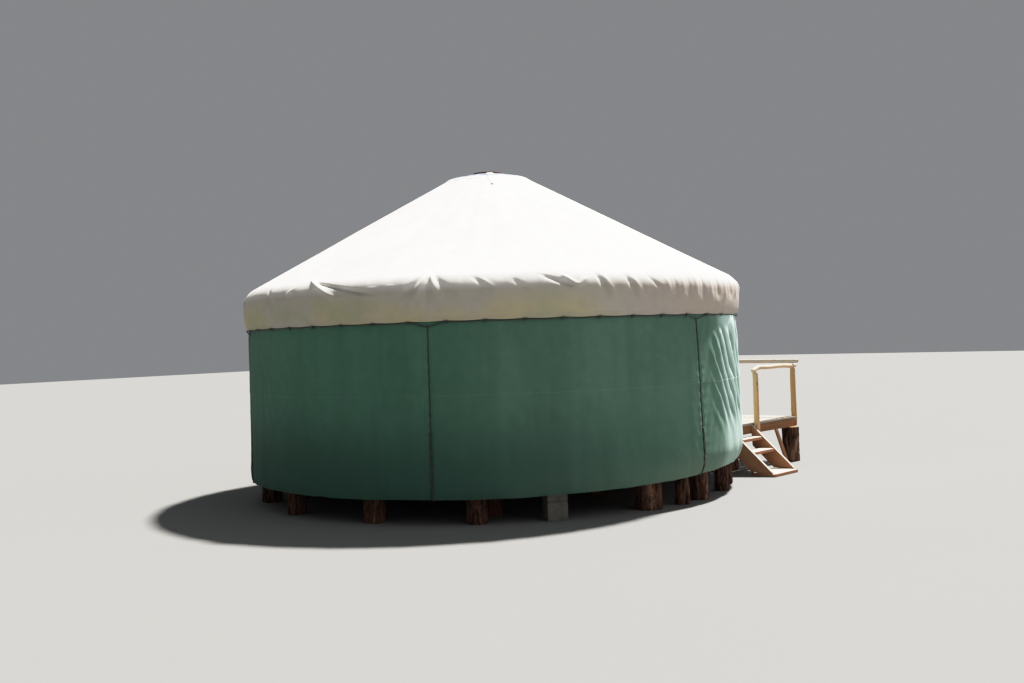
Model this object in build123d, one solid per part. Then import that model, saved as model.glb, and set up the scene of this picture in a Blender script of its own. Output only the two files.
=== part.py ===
from build123d import *
from math import asin, atan2, cos, degrees, pi, radians, sin, sqrt, tan
import os

# A canvas yurt on a raised timber floor, with a small deck and a stair at its door.
# Millimetres, +Z up. The origin is on the yurt's axis at ground level, and the door faces -Y.
# Angles round the yurt are counted from the door (-Y) towards +X.

os.makedirs("parts", exist_ok=True)

# Clearances
seat = 0.3                    # between a piece and what it rests on or fits into
deck_gap = 12.0               # between the deck's boards and the wall canvas

# Timber floor on its stumps
floor_top = 620.0
floor_board = 28.0
floor_joist_depth = 120.0
floor_joist_width = 50.0
floor_joist_spacing = 600.0
floor_beam_depth = 80.0
floor_beam_width = 100.0
floor_beam_spacing = 1750.0
rim_plank_width = 70.0
rim_plank_count = 24
rim_plank_set_back = 20.0     # of the rim's corners from the floor's edge
rim_joint = 2.0               # between the mitred ends of two rim planks

# Canvas wall
wall_radius = 3000.0          # outside of the canvas
wall_thickness = 20.0         # canvas and felt
wall_top = 2425.0
hem_tuck = 70.0               # how far the hem is tucked in under the floor's edge
hem_height = 271.0
tuck_height = 425.0           # where the tuck starts
seam_count = 6                # laced seams, the first at half a panel from the door
lacing_radius = 5.0
lacing_top = 2035.0

# Lattice inside the wall
pole_count = 42
door_pitches = 2              # pole pitches that the door takes out of the lattice
lattice_sections = 5
lattice_rows = 5              # rows of half diamonds between the lowest and highest crossing
lattice_bar_width = 32.0
lattice_thickness = 14.0
lattice_foot = 60.0           # from the floor to the lowest crossing
lattice_head = 18.0           # how far the forks stand past the underside of the poles
lattice_gap = 10.0            # between the lattice and the canvas

# Roof canvas
roof_point_radius = 2597.0    # a point on the outside of the cone
roof_point_height = 2700.0
roof_run_per_rise = 1.855
roof_thickness = 12.0
valance_radius = 3040.0
valance_bottom = 2056.0
eave_rounding = 120.0
eave_chords = 3               # straight steps that the rounding is made of
cord_radius = 6.0             # drawstring under the valance
cord_drop = 45.0              # how far it is pulled down at each wall seam

# Crown
pole_size = 34.0
crown_radius = 500.0
crown_ring_width = 60.0
crown_ring_depth = 46.0
roof_lap = 10.0               # of the roof canvas over the crown's ring
cap_overlap = 45.0            # how far the cap reaches down over the roof canvas
cap_thickness = 6.0
cap_shoulder_radius = 300.0
cap_shoulder_rise = 25.0      # above the cap's crease at the edge of the roof canvas
cap_collar_rise = 37.0        # above the shoulder
top_ring_radius = 188.0
top_ring_width = 40.0
top_ring_stand = 23.0         # above the cap's collar
top_ring_depth = 76.0
crown_flats = 28              # sides of the cap, the top ring and the pane
pane_thickness = 4.0
pane_depth = 10.0             # how far the pane lies below the ring's top
pane_ledge = 14.0
rib_count = 8
rib_width = 26.0
rib_depth = 42.0
rib_clearance = 12.0          # under the cap's shoulder

# Door
door_frame_depth = 90.0
door_jamb = 60.0
door_sill = 40.0
door_setback = 45.0           # of the frame's front from the wall's outside
door_sill_nose = 80.0         # of the sill in front of the frame
door_leaf_thickness = 36.0
door_leaf_gap = 3.0
door_ledge_width = 110.0
door_ledge_thickness = 22.0
handle_length = 220.0
handle_size = 26.0
handle_reach = 45.0
hinge_length = 380.0
hinge_width = 40.0
hinge_plate = 4.0
hinge_pin_radius = 8.0

# Deck and rails
deck_half_length = 2000.0
deck_front = 4070.0           # distance of the deck's front edge from the yurt's axis
deck_board = 28.0
deck_fascia_depth = 112.0
deck_fascia_thickness = 28.0
deck_joist_width = 45.0
deck_joist_bays = 3           # from the first joist, by the wall, to the front
post_radius = 39.0
post_foot = 480.0
post_sides = 12               # sides of the round posts and rails
post_stair_gap = 3.0          # between the post by the wall and the stair
corner_post_inset = 50.0      # of the corner posts from the deck's ends
front_post_bays = 4
rail_radius = 29.0
rail_top_inner = 1334.0       # top of the side rail at the post by the wall
rail_top_corner = 1365.0      # and at the corner post
rail_overhang = 85.0
deck_stump_radius = 120.0
deck_stump_inset = 30.0
deck_stump_wall_gap = 68.8    # between the inner stumps and the wall
brace_width = 60.0
brace_thickness = 28.0
brace_set_back = 563.0        # of the brace's top from the deck's front

# Stair
stair_wall_gap = 9.0          # between the wall and the stair's near side
stair_width = 610.0
stringer_thickness = 38.0
stringer_drop = 20.0          # of the stringer's top edge below the deck
stringer_rise_per_run = 0.907
stringer_height = 270.0       # measured plumb
tread_thickness = 42.0
tread_tops = (450.0, 300.0)
tread_depths = (160.0, 200.0)
foot_plank_thickness = 42.0
foot_plank_length = 350.0
foot_plank_lead = 30.0        # past the stringers' feet

# Stumps under the rim: angle and radius. The first five stand where they are seen.
rim_stumps = ((-102.0, 145.0), (-92.5, 78.0), (-84.5, 115.0), (-70.0, 80.0), (-58.0, 78.0),
              (-142.0, 105.0), (-165.0, 115.0), (170.0, 100.0), (146.0, 120.0), (121.0, 100.0),
              (97.0, 115.0), (72.0, 100.0), (48.0, 110.0), (24.0, 100.0), (-24.0, 105.0))
rim_stump_clearance = 15.0    # inside the canvas's hem
log_sides = 20                # sides of the stumps
inner_stump_radius = 120.0
inner_stump_offset = 1500.0
centre_stump_radius = 150.0
block_angle = -125.5
block_size = 215.0
block_course = 195.0

# Values that follow from the sizes above
floor_underside = floor_top - floor_board
joist_underside = floor_underside - floor_joist_depth
stump_top = joist_underside - floor_beam_depth
floor_radius = wall_radius - wall_thickness - seat
rim_outer = floor_radius - rim_plank_set_back
rim_inner = rim_outer * cos(pi / rim_plank_count) - rim_plank_width
hem_radius = wall_radius - hem_tuck
hem_inside = hem_radius - wall_thickness
roof_plumb = sqrt(1.0 + 1.0 / roof_run_per_rise ** 2)      # plumb depth of a unit of thickness
pitch = 360.0 / pole_count
canvas_flats = 2 * pole_count        # the canvas lies flat between the lattice's crossings
lattice_outer = wall_radius - wall_thickness - lattice_gap
pole_outer_end = lattice_outer
roof_top_radius = crown_radius - roof_lap
deck_underside = floor_top - deck_board
fascia_bottom = deck_underside - deck_fascia_depth
door_half_width = lattice_outer * sin(radians(door_pitches * pitch / 2)) - lattice_gap / 2
door_front = wall_radius - door_setback
stair_near = sqrt(wall_radius ** 2 - deck_half_length ** 2) + stair_wall_gap
stair_far = stair_near + stair_width
inner_post_line = stair_far + post_stair_gap + post_radius
corner_post_line = deck_half_length - corner_post_inset
brace_top_line = deck_front - brace_set_back
cap_lift = (cap_thickness + seat) * roof_plumb
seam_angles = [(k + 0.5) * 360.0 / seam_count for k in range(seam_count)]


def roof_height(radius):
    """Height of the roof canvas's outside, before the eave's rounding."""
    return roof_point_height + (roof_point_radius - radius) / roof_run_per_rise


def canvas_underside(radius):
    return roof_height(radius) - roof_thickness * roof_plumb


def pole_top(radius):
    """Top of a pole, low enough for its edges to clear the flats on both sides of its ridge."""
    edge = radius + pole_size / 2 * tan(pi / canvas_flats)
    return canvas_underside(edge) - seat * roof_plumb


def pole_underside(radius):
    return pole_top(radius) - pole_size * roof_plumb


def at(radius, angle, z=0.0):
    """Point at a radius from the axis and an angle from the door."""
    return Vector(radius * sin(radians(angle)), -radius * cos(radians(angle)), z)


def turned(shape, angle):
    """A shape drawn on the +X side of the axis, turned to an angle from the door."""
    return shape.rotate(Axis.Z, angle - 90.0)


def radius_point(radius, z):
    return Vector(radius, 0, z)


def polygon(points):
    """Face in the XZ plane through radius and height points."""
    return make_face(Polyline(*[radius_point(r, z) for r, z in points], close=True))


def ring_part(points, start, count, flats):
    """Flats of a ring side by side from an angle on, each with the radius and height outline."""
    half, far = pi / flats, 2 * valance_radius
    run = extrude(polygon(points), amount=far * tan(half), both=True)
    sector = Polyline(Vector(0, 0), Vector(far, -far * tan(half)), Vector(far, far * tan(half)), close=True)
    flat = run & extrude(make_face(sector), amount=far)
    step = 360.0 / flats
    whole = [turned(flat, start + (k + 0.5) * step) for k in range(count)]
    return whole[0].fuse(*whole[1:])


def canvas_panel(points, start):
    """One panel of canvas between two seams. The outline gives the radii of its corners."""
    inset = cos(pi / canvas_flats)
    return ring_part([(r * inset, z) for r, z in points], start, canvas_flats // seam_count, canvas_flats)


def upright(radius, x, y, low, high, sides=log_sides):
    """A round timber standing between two heights."""
    return Pos(x, y, low) * extrude(RegularPolygon(radius, sides), amount=high - low)


def block(x0, x1, y0, y1, z0, z1):
    return Pos((x0 + x1) / 2, (y0 + y1) / 2, (z0 + z1) / 2) * Box(x1 - x0, y1 - y0, z1 - z0)


def save(name, *shapes):
    solids = [s for shape in shapes for s in shape.solids()]
    kept = solids[0] if len(solids) == 1 else Compound(children=solids)
    export_step(kept, "parts/" + name + ".step")


def radial_prism(points, width):
    """A radius and height outline given a width, centred on the XZ plane."""
    return extrude(polygon(points), amount=width / 2, both=True)


def rim_plank():
    """One straight plank of the floor's rim, mitred at both ends."""
    half, face = pi / rim_plank_count, rim_outer * cos(pi / rim_plank_count)
    wide, narrow = face * tan(half) - rim_joint / 2, rim_inner * tan(half) - rim_joint / 2
    plan = Polyline(Vector(rim_inner, -narrow), Vector(face, -wide), Vector(face, wide),
                    Vector(rim_inner, narrow), close=True)
    return Pos(0, 0, stump_top) * extrude(make_face(plan), amount=floor_underside - stump_top)


def floor_parts():
    save("floor", upright(floor_radius, 0, 0, floor_underside, floor_top, canvas_flats))
    plank = rim_plank()
    save("floor_rim", *[turned(plank, (k + 0.5) * 360.0 / rim_plank_count) for k in range(rim_plank_count)])
    reach = rim_inner - seat
    joists = []
    for k in range(-int(reach // floor_joist_spacing), int(reach // floor_joist_spacing) + 1):
        x = k * floor_joist_spacing
        edge = abs(x) + floor_joist_width / 2
        half = sqrt(reach ** 2 - edge ** 2)
        joists.append(block(x - floor_joist_width / 2, x + floor_joist_width / 2, -half, half,
                            joist_underside, floor_underside))
    save("floor_joists", *joists)
    beams = []
    for k in (-1, 0, 1):
        y = k * floor_beam_spacing
        edge = abs(y) + floor_beam_width / 2
        half = sqrt(reach ** 2 - edge ** 2)
        beams.append(block(-half, half, y - floor_beam_width / 2, y + floor_beam_width / 2,
                           stump_top, joist_underside))
    save("floor_beams", *beams)


def stump_parts():
    save("centre_stump", upright(centre_stump_radius, 0, 0, 0, stump_top))
    inner = []
    for x in (-inner_stump_offset, inner_stump_offset):
        for k in (-1, 0, 1):
            inner.append(upright(inner_stump_radius, x, k * floor_beam_spacing, 0, stump_top))
    save("inner_stumps", *inner)
    around = []
    for angle, radius in rim_stumps:
        foot = at(hem_inside - rim_stump_clearance - radius, angle)
        around.append(upright(radius, foot.X, foot.Y, 0, stump_top))
    save("rim_stumps", *around)
    half = block_size / 2
    centre = hem_inside - 2 * rim_stump_clearance - half
    lower = block(centre - half, centre + half, -half, half, 0, block_course)
    upper = block(centre - half, centre + half, -half, half, block_course, stump_top)
    save("block_pier", turned(lower, block_angle), turned(upper, block_angle))


def wall_outline():
    inner = wall_radius - wall_thickness
    return [(hem_radius, hem_height), (wall_radius, tuck_height), (wall_radius, wall_top),
            (inner, wall_top), (inner, tuck_height), (hem_inside, hem_height)]


def wall_parts():
    points = wall_outline()
    for number, start in enumerate(seam_angles[:-1], 1):
        save("wall_panel_%d" % number, canvas_panel(points, start))
    half = door_half_width + seat
    doorway = block(-half, half, -2 * wall_radius, 0, -floor_top, 2 * wall_top)
    sides = canvas_panel(points, seam_angles[-1]) - doorway
    for solid in sides.solids():
        side = "right" if solid.center().X > 0 else "left"
        save("wall_panel_door_" + side, solid)


def lacing():
    """Cord that closes a wall seam, over the canvas and round the tuck at its foot."""
    line = wall_radius + lacing_radius + seat
    slope = atan2(wall_radius - hem_radius, tuck_height - hem_height)
    run = Vector(-sin(slope), 0, -cos(slope))
    corner = Vector(line, 0, tuck_height - (lacing_radius + seat) * tan(slope / 2))
    foot = corner + run * (tuck_height - hem_height)
    path = Polyline(Vector(line, 0, lacing_top), corner, foot)
    first = Plane(origin=Vector(line, 0, lacing_top), z_dir=(0, 0, -1))
    return sweep(first * RegularPolygon(lacing_radius, 6), path=path, transition=Transition.RIGHT)


def drawstring():
    """Cord under the valance, pulled straight between its loops and down at each wall seam."""
    step = 360.0 / 48
    line = valance_radius - roof_thickness / 2
    level = valance_bottom - cord_radius - seat
    start = degrees(asin((door_half_width + cord_radius + seat) / line))
    clear = start + step / 3
    angles = [start] + [k * step for k in range(48) if clear < k * step < 360.0 - clear]
    angles.append(360.0 - start)
    points = []
    for angle in angles:
        dip = min(abs(angle - seam) for seam in seam_angles) < step / 4
        points.append(at(line, angle, level - cord_drop if dip else level))
    path = Polyline(*points)
    first = Plane(origin=points[0], z_dir=points[1] - points[0])
    section = first * RegularPolygon(cord_radius, 6, major_radius=False)
    return sweep(section, path=path, transition=Transition.RIGHT)


def cord_parts():
    cord = lacing()
    save("wall_lacings", *[turned(cord, angle) for angle in seam_angles])
    save("drawstring", drawstring())


def lattice_facet(floor_level):
    """One flat strip of the lattice, between two upright lines of crossings.

    The bars zigzag from side to side. Both ends are cut on the planes through the axis,
    so that each strip meets its mirror image exactly."""
    half_angle = radians(pitch / 4)
    width = 2 * lattice_outer * sin(half_angle)
    low = floor_level + lattice_foot
    fork = pole_underside(lattice_outer)
    step = (fork - low) / lattice_rows
    for _ in range(20):
        slope = step / width
        rise = lattice_bar_width / 2 * sqrt(1 + slope ** 2)
        step = (fork - rise - (pole_size / 2 + seat) * slope - low) / lattice_rows
    slope = step / width
    rise = lattice_bar_width / 2 * sqrt(1 + slope ** 2)
    inset = rise / slope
    left, right = [], []
    for row in range(-1, lattice_rows + 2):
        z = low + row * step
        on_left = row % 2 == 0
        for side, own, sign in ((left, on_left, -1), (right, not on_left, 1)):
            if own:
                side += [(sign * width / 2, z - rise), (sign * width / 2, z + rise)]
            else:
                side.append((sign * (inset - width / 2), z))
    band = make_face(Polyline(*[Vector(x, z) for x, z in left + right[::-1]], close=True))
    window = Pos(0, (floor_level + seat + fork + lattice_head) / 2) * Rectangle(
        2 * width, fork + lattice_head - floor_level - seat)
    outer_face = Plane(origin=(lattice_outer * cos(half_angle), 0, 0), x_dir=(0, 1, 0), z_dir=(1, 0, 0))
    flat = extrude(outer_face * (band & window), amount=-lattice_thickness)
    far = 2 * lattice_outer
    wedge = Polyline(Vector(0, 0), Vector(far, far * tan(half_angle)), Vector(far, -far * tan(half_angle)),
                     close=True)
    return flat & extrude(make_face(wedge), amount=2 * wall_top)


def lattice_parts():
    even = lattice_facet(floor_top)
    odd = even.mirror(Plane.XZ)
    cells = (pole_count - door_pitches) // lattice_sections
    for section in range(lattice_sections):
        start = pitch * (door_pitches / 2 + section * cells)
        strips = []
        for k in range(2 * cells):
            strip = even if k % 2 == 0 else odd
            strips.append(turned(strip, start + (k + 0.5) * pitch / 2))
        whole = strips[0].fuse(*strips[1:])
        save("lattice_%d" % (section + 1), whole)


def roof_pole():
    inner, outer = crown_radius + seat, pole_outer_end
    return radial_prism([(inner, pole_top(inner)), (outer, pole_top(outer)),
                         (outer, pole_underside(outer)), (inner, pole_underside(inner))], pole_size)


def roof_outline():
    """Roof canvas from the crown down to the eave and on as the valance."""
    turn = pi / 2 - atan2(1, roof_run_per_rise)
    centre_radius = valance_radius - eave_rounding
    centre_height = roof_height(valance_radius) - eave_rounding * tan(turn / 2)

    def side(rounding, top, bottom):
        steps = [turn * (1 - k / eave_chords) for k in range(eave_chords + 1)]
        bend = [(centre_radius + rounding * cos(a), centre_height + rounding * sin(a)) for a in steps]
        return [top] + bend + [bottom]

    inside = valance_radius - roof_thickness
    outer = side(eave_rounding, (roof_top_radius, roof_height(roof_top_radius)), (valance_radius, valance_bottom))
    inner = side(eave_rounding - roof_thickness, (roof_top_radius, canvas_underside(roof_top_radius)),
                 (inside, valance_bottom))
    return outer + inner[::-1]


def roof_parts():
    pole = roof_pole()
    save("roof_poles", *[turned(pole, (k + 0.5) * pitch) for k in range(pole_count)])
    points = roof_outline()
    for number, start in enumerate(seam_angles[:-1], 1):
        save("roof_panel_%d" % number, canvas_panel(points, start))
    half = door_half_width + lattice_gap
    doorway = block(-half, half, -2 * wall_radius, 0, 0, floor_top + door_height() - door_jamb)
    save("roof_panel_front", canvas_panel(points, seam_angles[-1]) - doorway)


def crown_hoop(outer, inner, low, high):
    """A ring of the crown's top, with the flats of its cap."""
    return Pos(0, 0, low) * extrude(RegularPolygon(outer, crown_flats, major_radius=False)
                                    - RegularPolygon(inner, crown_flats, major_radius=False), amount=high - low)


def crown_parts():
    ring_top = pole_top(crown_radius / cos(pi / pole_count))
    plan = [RegularPolygon(r, pole_count, major_radius=False, rotation=pitch / 2)
            for r in (crown_radius, crown_radius - crown_ring_width)]
    save("crown_ring", Pos(0, 0, ring_top - crown_ring_depth) * extrude(plan[0] - plan[1], amount=crown_ring_depth))
    crease = roof_height(roof_top_radius) + cap_lift
    shoulder = crease + cap_shoulder_rise
    collar = shoulder + cap_collar_rise
    top = collar + top_ring_stand
    bottom = top - top_ring_depth
    lip = top_ring_radius - top_ring_width
    ledge = top - pane_depth - pane_thickness
    save("crown_top_ring", crown_hoop(top_ring_radius, lip, bottom, top)
         + crown_hoop(lip, lip - pane_ledge, bottom, ledge))
    pane = RegularPolygon(lip - seat, crown_flats, major_radius=False)
    save("crown_pane", Pos(0, 0, ledge) * extrude(pane, amount=pane_thickness))
    inner = top_ring_radius / cos(pi / crown_flats) + seat
    outer = crown_radius - crown_ring_width - seat
    under = shoulder - 2 * cap_thickness - seat - rib_clearance
    high, foot = bottom + rib_depth, ring_top - seat
    rib = radial_prism([(inner, high), (cap_shoulder_radius, under), (outer, foot),
                        (outer, foot - rib_depth), (cap_shoulder_radius, under - rib_depth),
                        (inner, high - rib_depth)], rib_width)
    save("crown_ribs", *[turned(rib, (k + 0.5) * 360.0 / rib_count) for k in range(rib_count)])
    edge, hole = crown_radius + cap_overlap, top_ring_radius + seat
    rest = seat * roof_plumb
    cap = [(edge, roof_height(edge) + cap_lift), (roof_top_radius, crease), (cap_shoulder_radius, shoulder),
           (hole, collar), (hole, collar - cap_thickness), (cap_shoulder_radius, shoulder - 2 * cap_thickness),
           (roof_top_radius, crease - cap_lift + rest), (edge, roof_height(edge) + rest)]
    save("crown_cap", ring_part(cap, 0.0, crown_flats, crown_flats))


def door_height():
    """Height of the door's frame, up to the undersides of the poles that rest on it."""
    return pole_underside(pole_outer_end) - seat - floor_top


def door_parts():
    front, back = -door_front, -door_front + door_frame_depth
    half, top = door_half_width, floor_top + door_height()
    sill = block(-half, half, front - door_sill_nose, back, floor_top, floor_top + door_sill)
    jambs = [block(x, x + door_jamb, front, back, floor_top + door_sill, top - door_jamb)
             for x in (-half, half - door_jamb)]
    head = block(-half, half, front, back, top - door_jamb, top)
    save("door_frame", sill, head, *jambs)
    leaf_half = half - door_jamb - door_leaf_gap
    low, high = floor_top + door_sill + door_leaf_gap, top - door_jamb - door_leaf_gap
    leaf = block(-leaf_half, leaf_half, front, front + door_leaf_thickness, low, high)
    inside = front + door_leaf_thickness
    for share in (0.14, 0.5, 0.86):
        z = low + share * (high - low)
        leaf += block(-leaf_half + 2 * door_leaf_gap, leaf_half - 2 * door_leaf_gap, inside,
                      inside + door_ledge_thickness, z - door_ledge_width / 2, z + door_ledge_width / 2)
    save("door_leaf", leaf)
    x = -leaf_half + 3 * handle_size
    middle = low + (high - low) * 0.52
    grip_back = front - handle_reach
    grip = block(x, x + handle_size, grip_back, grip_back + handle_size,
                 middle - handle_length / 2, middle + handle_length / 2)
    for z in (middle - handle_length / 2, middle + handle_length / 2 - handle_size):
        grip += block(x, x + handle_size, grip_back, front, z, z + handle_size)
    save("door_handle", grip)
    hinges = []
    for share in (0.14, 0.86):
        z = low + share * (high - low)
        low_edge, high_edge = z - hinge_width / 2, z + hinge_width / 2
        plate = block(leaf_half - hinge_length, leaf_half, front - hinge_plate, front, low_edge, high_edge)
        pin = upright(hinge_pin_radius, leaf_half, front - hinge_pin_radius, low_edge, high_edge, post_sides)
        hinges.append(plate + pin)
    save("door_hinges", *hinges)


def deck_parts():
    length, front = deck_half_length, -deck_front
    side_end = -sqrt((wall_radius + deck_gap) ** 2 - length ** 2)
    round_wall = Cylinder(wall_radius + deck_gap, 4 * floor_top)
    save("deck_floor", block(-length, length, front, side_end, deck_underside, floor_top) - round_wall)
    thick, low = deck_fascia_thickness, fascia_bottom
    boards = [block(-length, length, front, front + thick, low, deck_underside)]
    clear = wall_radius + deck_gap
    reach = length - thick
    near = -sqrt(clear ** 2 - reach ** 2)
    for x in (-length, reach):
        boards.append(block(x, x + thick, front + thick, near, low, deck_underside))
    inner_x = length - thick - 2 * deck_stump_radius
    stump_reach = wall_radius + deck_stump_wall_gap + deck_stump_radius
    inner_y = -sqrt(stump_reach ** 2 - inner_x ** 2)
    first = deck_joist_width / 2 - inner_y
    spacing = (deck_front - first) / deck_joist_bays
    for line in [first + k * spacing for k in range(deck_joist_bays)]:
        nearest = line - deck_joist_width
        if nearest > clear:
            boards.append(block(-reach, reach, -line, -nearest, low, deck_underside))
        else:
            inner = sqrt(clear ** 2 - nearest ** 2) + deck_gap
            boards.append(block(-reach, -inner, -line, -nearest, low, deck_underside))
            boards.append(block(inner, reach, -line, -nearest, low, deck_underside))
    save("deck_frame", *boards)
    x, y = length - deck_stump_inset, front + deck_stump_radius
    feet = [(-x, y), (0, y), (x, y), (-inner_x, inner_y), (inner_x, inner_y)]
    save("deck_stumps", *[upright(deck_stump_radius, fx, fy, 0, low) for fx, fy in feet])
    foot_end = -y - sqrt(deck_stump_radius ** 2 - (deck_stump_inset - brace_thickness) ** 2)
    brace_run = (foot_end - seat) - brace_top_line
    lean = sqrt(1 + (brace_run / low) ** 2)
    half = brace_width * lean / 2
    top_y, foot_y = -brace_top_line, -(foot_end - 2 * seat - brace_width * lean / 2)
    points = [(top_y - half, low), (top_y + half, low), (foot_y + half, 0), (foot_y - half, 0)]
    side = make_face(Polyline(*[Vector(y, z) for y, z in points], close=True))
    plane = Plane(origin=(-length, 0, 0), x_dir=(0, 1, 0), z_dir=(1, 0, 0))
    save("deck_brace", extrude(plane * side, amount=brace_thickness))


def rail(start, end):
    """A round pole between two points."""
    run = end - start
    section = Plane(origin=start, x_dir=(0, 0, 1), z_dir=run) * RegularPolygon(rail_radius, post_sides)
    return extrude(section, amount=run.length)


def rail_parts():
    outer = deck_half_length + post_radius + seat
    corner_y = -(deck_front + post_radius + seat)
    side_tops = (rail_top_inner - 2 * rail_radius, rail_top_corner - 2 * rail_radius)
    fall = 2 * post_radius * (rail_top_corner - rail_top_inner) / (-corner_y - inner_post_line)
    posts = []
    for sign in (-1, 1):
        posts.append(upright(post_radius, sign * outer, -inner_post_line, post_foot,
                             side_tops[0] - seat - fall, post_sides))
        posts.append(upright(post_radius, sign * corner_post_line, corner_y, fascia_bottom,
                             side_tops[1] - seat - fall, post_sides))
    front_under = rail_top_corner + seat
    bay = 2 * corner_post_line / front_post_bays
    for k in range(1, front_post_bays):
        posts.append(upright(post_radius, -corner_post_line + k * bay, corner_y, fascia_bottom,
                             front_under - seat, post_sides))
    save("deck_posts", *posts)
    side_rails = []
    for sign in (-1, 1):
        near = Vector(sign * outer, -inner_post_line, rail_top_inner - rail_radius)
        far = Vector(sign * corner_post_line, corner_y, rail_top_corner - rail_radius)
        along = (far - near).normalized()
        side_rails.append(rail(near - along * rail_overhang, far + along * rail_overhang))
    save("side_rails", *side_rails)
    reach = corner_post_line + rail_overhang
    level = front_under + rail_radius + seat
    save("front_rail", rail(Vector(-reach, corner_y, level), Vector(reach, corner_y, level)))


def stair_parts():
    edge = -(deck_half_length + seat)
    top = floor_top - stringer_drop
    low = foot_plank_thickness
    foot = edge - (top - low) / stringer_rise_per_run
    back = edge - (top - stringer_height - low) / stringer_rise_per_run
    points = [(edge, top), (foot, low), (back, low), (edge, top - stringer_height)]
    side = make_face(Polyline(*[Vector(x, z) for x, z in points], close=True))
    stringers = []
    for y in (-stair_near, -stair_far + stringer_thickness):
        plane = Plane(origin=(0, y, 0), x_dir=(1, 0, 0), z_dir=(0, -1, 0))
        stringers.append(extrude(plane * side, amount=stringer_thickness))
    save("stair_stringers", *stringers)
    treads = []
    for z, depth in zip(tread_tops, tread_depths):
        nose = edge - (top - z) / stringer_rise_per_run
        treads.append(block(nose, min(nose + depth, edge), -stair_far + stringer_thickness + seat,
                            -stair_near - stringer_thickness - seat, z - tread_thickness, z))
    save("stair_treads", *treads)
    lead = foot - foot_plank_lead
    save("stair_foot_plank", block(lead, lead + foot_plank_length, -stair_far, -stair_near, 0, low))


floor_parts()
stump_parts()
wall_parts()
cord_parts()
lattice_parts()
roof_parts()
crown_parts()
door_parts()
deck_parts()
rail_parts()
stair_parts()
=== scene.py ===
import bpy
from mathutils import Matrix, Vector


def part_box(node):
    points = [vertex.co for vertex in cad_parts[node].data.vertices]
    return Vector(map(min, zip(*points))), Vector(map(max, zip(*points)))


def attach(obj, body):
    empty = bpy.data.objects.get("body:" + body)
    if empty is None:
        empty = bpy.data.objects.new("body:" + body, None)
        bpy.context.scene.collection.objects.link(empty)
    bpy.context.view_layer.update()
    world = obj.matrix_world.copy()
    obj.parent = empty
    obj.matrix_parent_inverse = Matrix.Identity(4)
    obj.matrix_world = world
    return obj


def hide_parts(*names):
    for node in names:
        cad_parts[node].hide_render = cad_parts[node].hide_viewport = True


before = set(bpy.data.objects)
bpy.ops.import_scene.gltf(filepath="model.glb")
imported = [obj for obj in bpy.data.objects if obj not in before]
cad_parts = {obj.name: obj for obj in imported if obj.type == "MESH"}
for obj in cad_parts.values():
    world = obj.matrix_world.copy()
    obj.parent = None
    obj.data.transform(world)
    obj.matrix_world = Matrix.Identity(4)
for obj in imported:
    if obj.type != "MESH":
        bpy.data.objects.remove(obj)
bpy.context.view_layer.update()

from math import asin, atan2, cos, degrees, pi, radians, sin, sqrt, tan

import bmesh
import bpy
import numpy as np
from bpy.props import FloatProperty, FloatVectorProperty, IntProperty, PointerProperty
from mathutils import Matrix, Vector

bl_info = {
    "name": "Canvas yurt",
    "version": (1, 0, 0),
    "blender": (4, 5, 0),
    "location": "View3D > Sidebar > Yurt",
    "description": "Dresses a framed yurt: canvas, cords, bark stumps, deck, rails, stair and door",
    "category": "Object",
}

# Metres, +Z up. Angles are in degrees round the axis, from the door (-Y) towards +X.
# Every surface is a grid of points. Its columns times its rows point outwards.


def length(name, words, value):
    return FloatProperty(name=name, description=words, default=value, unit="LENGTH")


def colour(name, words, value):
    return FloatVectorProperty(name=name, description=words, default=value, subtype="COLOR", size=3,
                               min=0, max=1)


def ratio(name, words, value):
    return FloatProperty(name=name, description=words, default=value)


def count(name, words, value):
    return IntProperty(name=name, description=words, default=value)


class YurtSizes(bpy.types.PropertyGroup):
    """Sizes of the yurt's dressed pieces."""
    wall_radius: length("Wall radius", "Outside of the wall under the valance", 2.980)
    lattice_radius: length("Lattice radius", "Outside of the lattice that the wall lies on", 2.9755)
    wall_flare: length("Wall flare", "How far the wall leans out towards its foot", 0.025)
    flare_swing: length("Flare swing", "How much the flare differs from side to side", 0.012)
    tuck_height: length("Tuck height", "Where the wall turns in under the floor", 0.440)
    hem_radius: length("Hem radius", "Radius of the tucked hem", 3.003)
    tuck_in: ratio("Tuck in", "How far a metre of rise pulls the hem in", 0.45)
    hem_height: length("Hem height", "Height of the hem", 0.268)
    hem_rise: length("Hem rise", "How much higher the hem sits on the sunny side", 0.085)
    tuck_rise: length("Tuck rise", "How much higher the wall turns in on the sunny side", 0.170)
    lap_height: length("Lap height", "Level seam half way up the wall", 1.307)
    valance_radius: length("Valance radius", "Outside of the valance", 3.040)
    valance_bottom: length("Valance bottom", "Lower edge of the valance", 2.052)
    eave_rounding: length("Eave rounding", "Radius that the canvas bends with at the eave", 0.235)
    valance_tuck: length("Valance tuck", "How far the drawstring pulls the valance in", 0.026)
    roof_run: ratio("Roof run", "Run of the roof for a metre of rise", 1.855)
    cord_radius: length("Cord radius", "Drawstring under the valance", 0.0065)
    lacing_radius: length("Lacing radius", "Cord in the wall's seams", 0.0060)
    loops: count("Loops", "Drawstring loops round the valance", 48)
    deck_boards: count("Deck boards", "Boards across the deck", 28)


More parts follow.
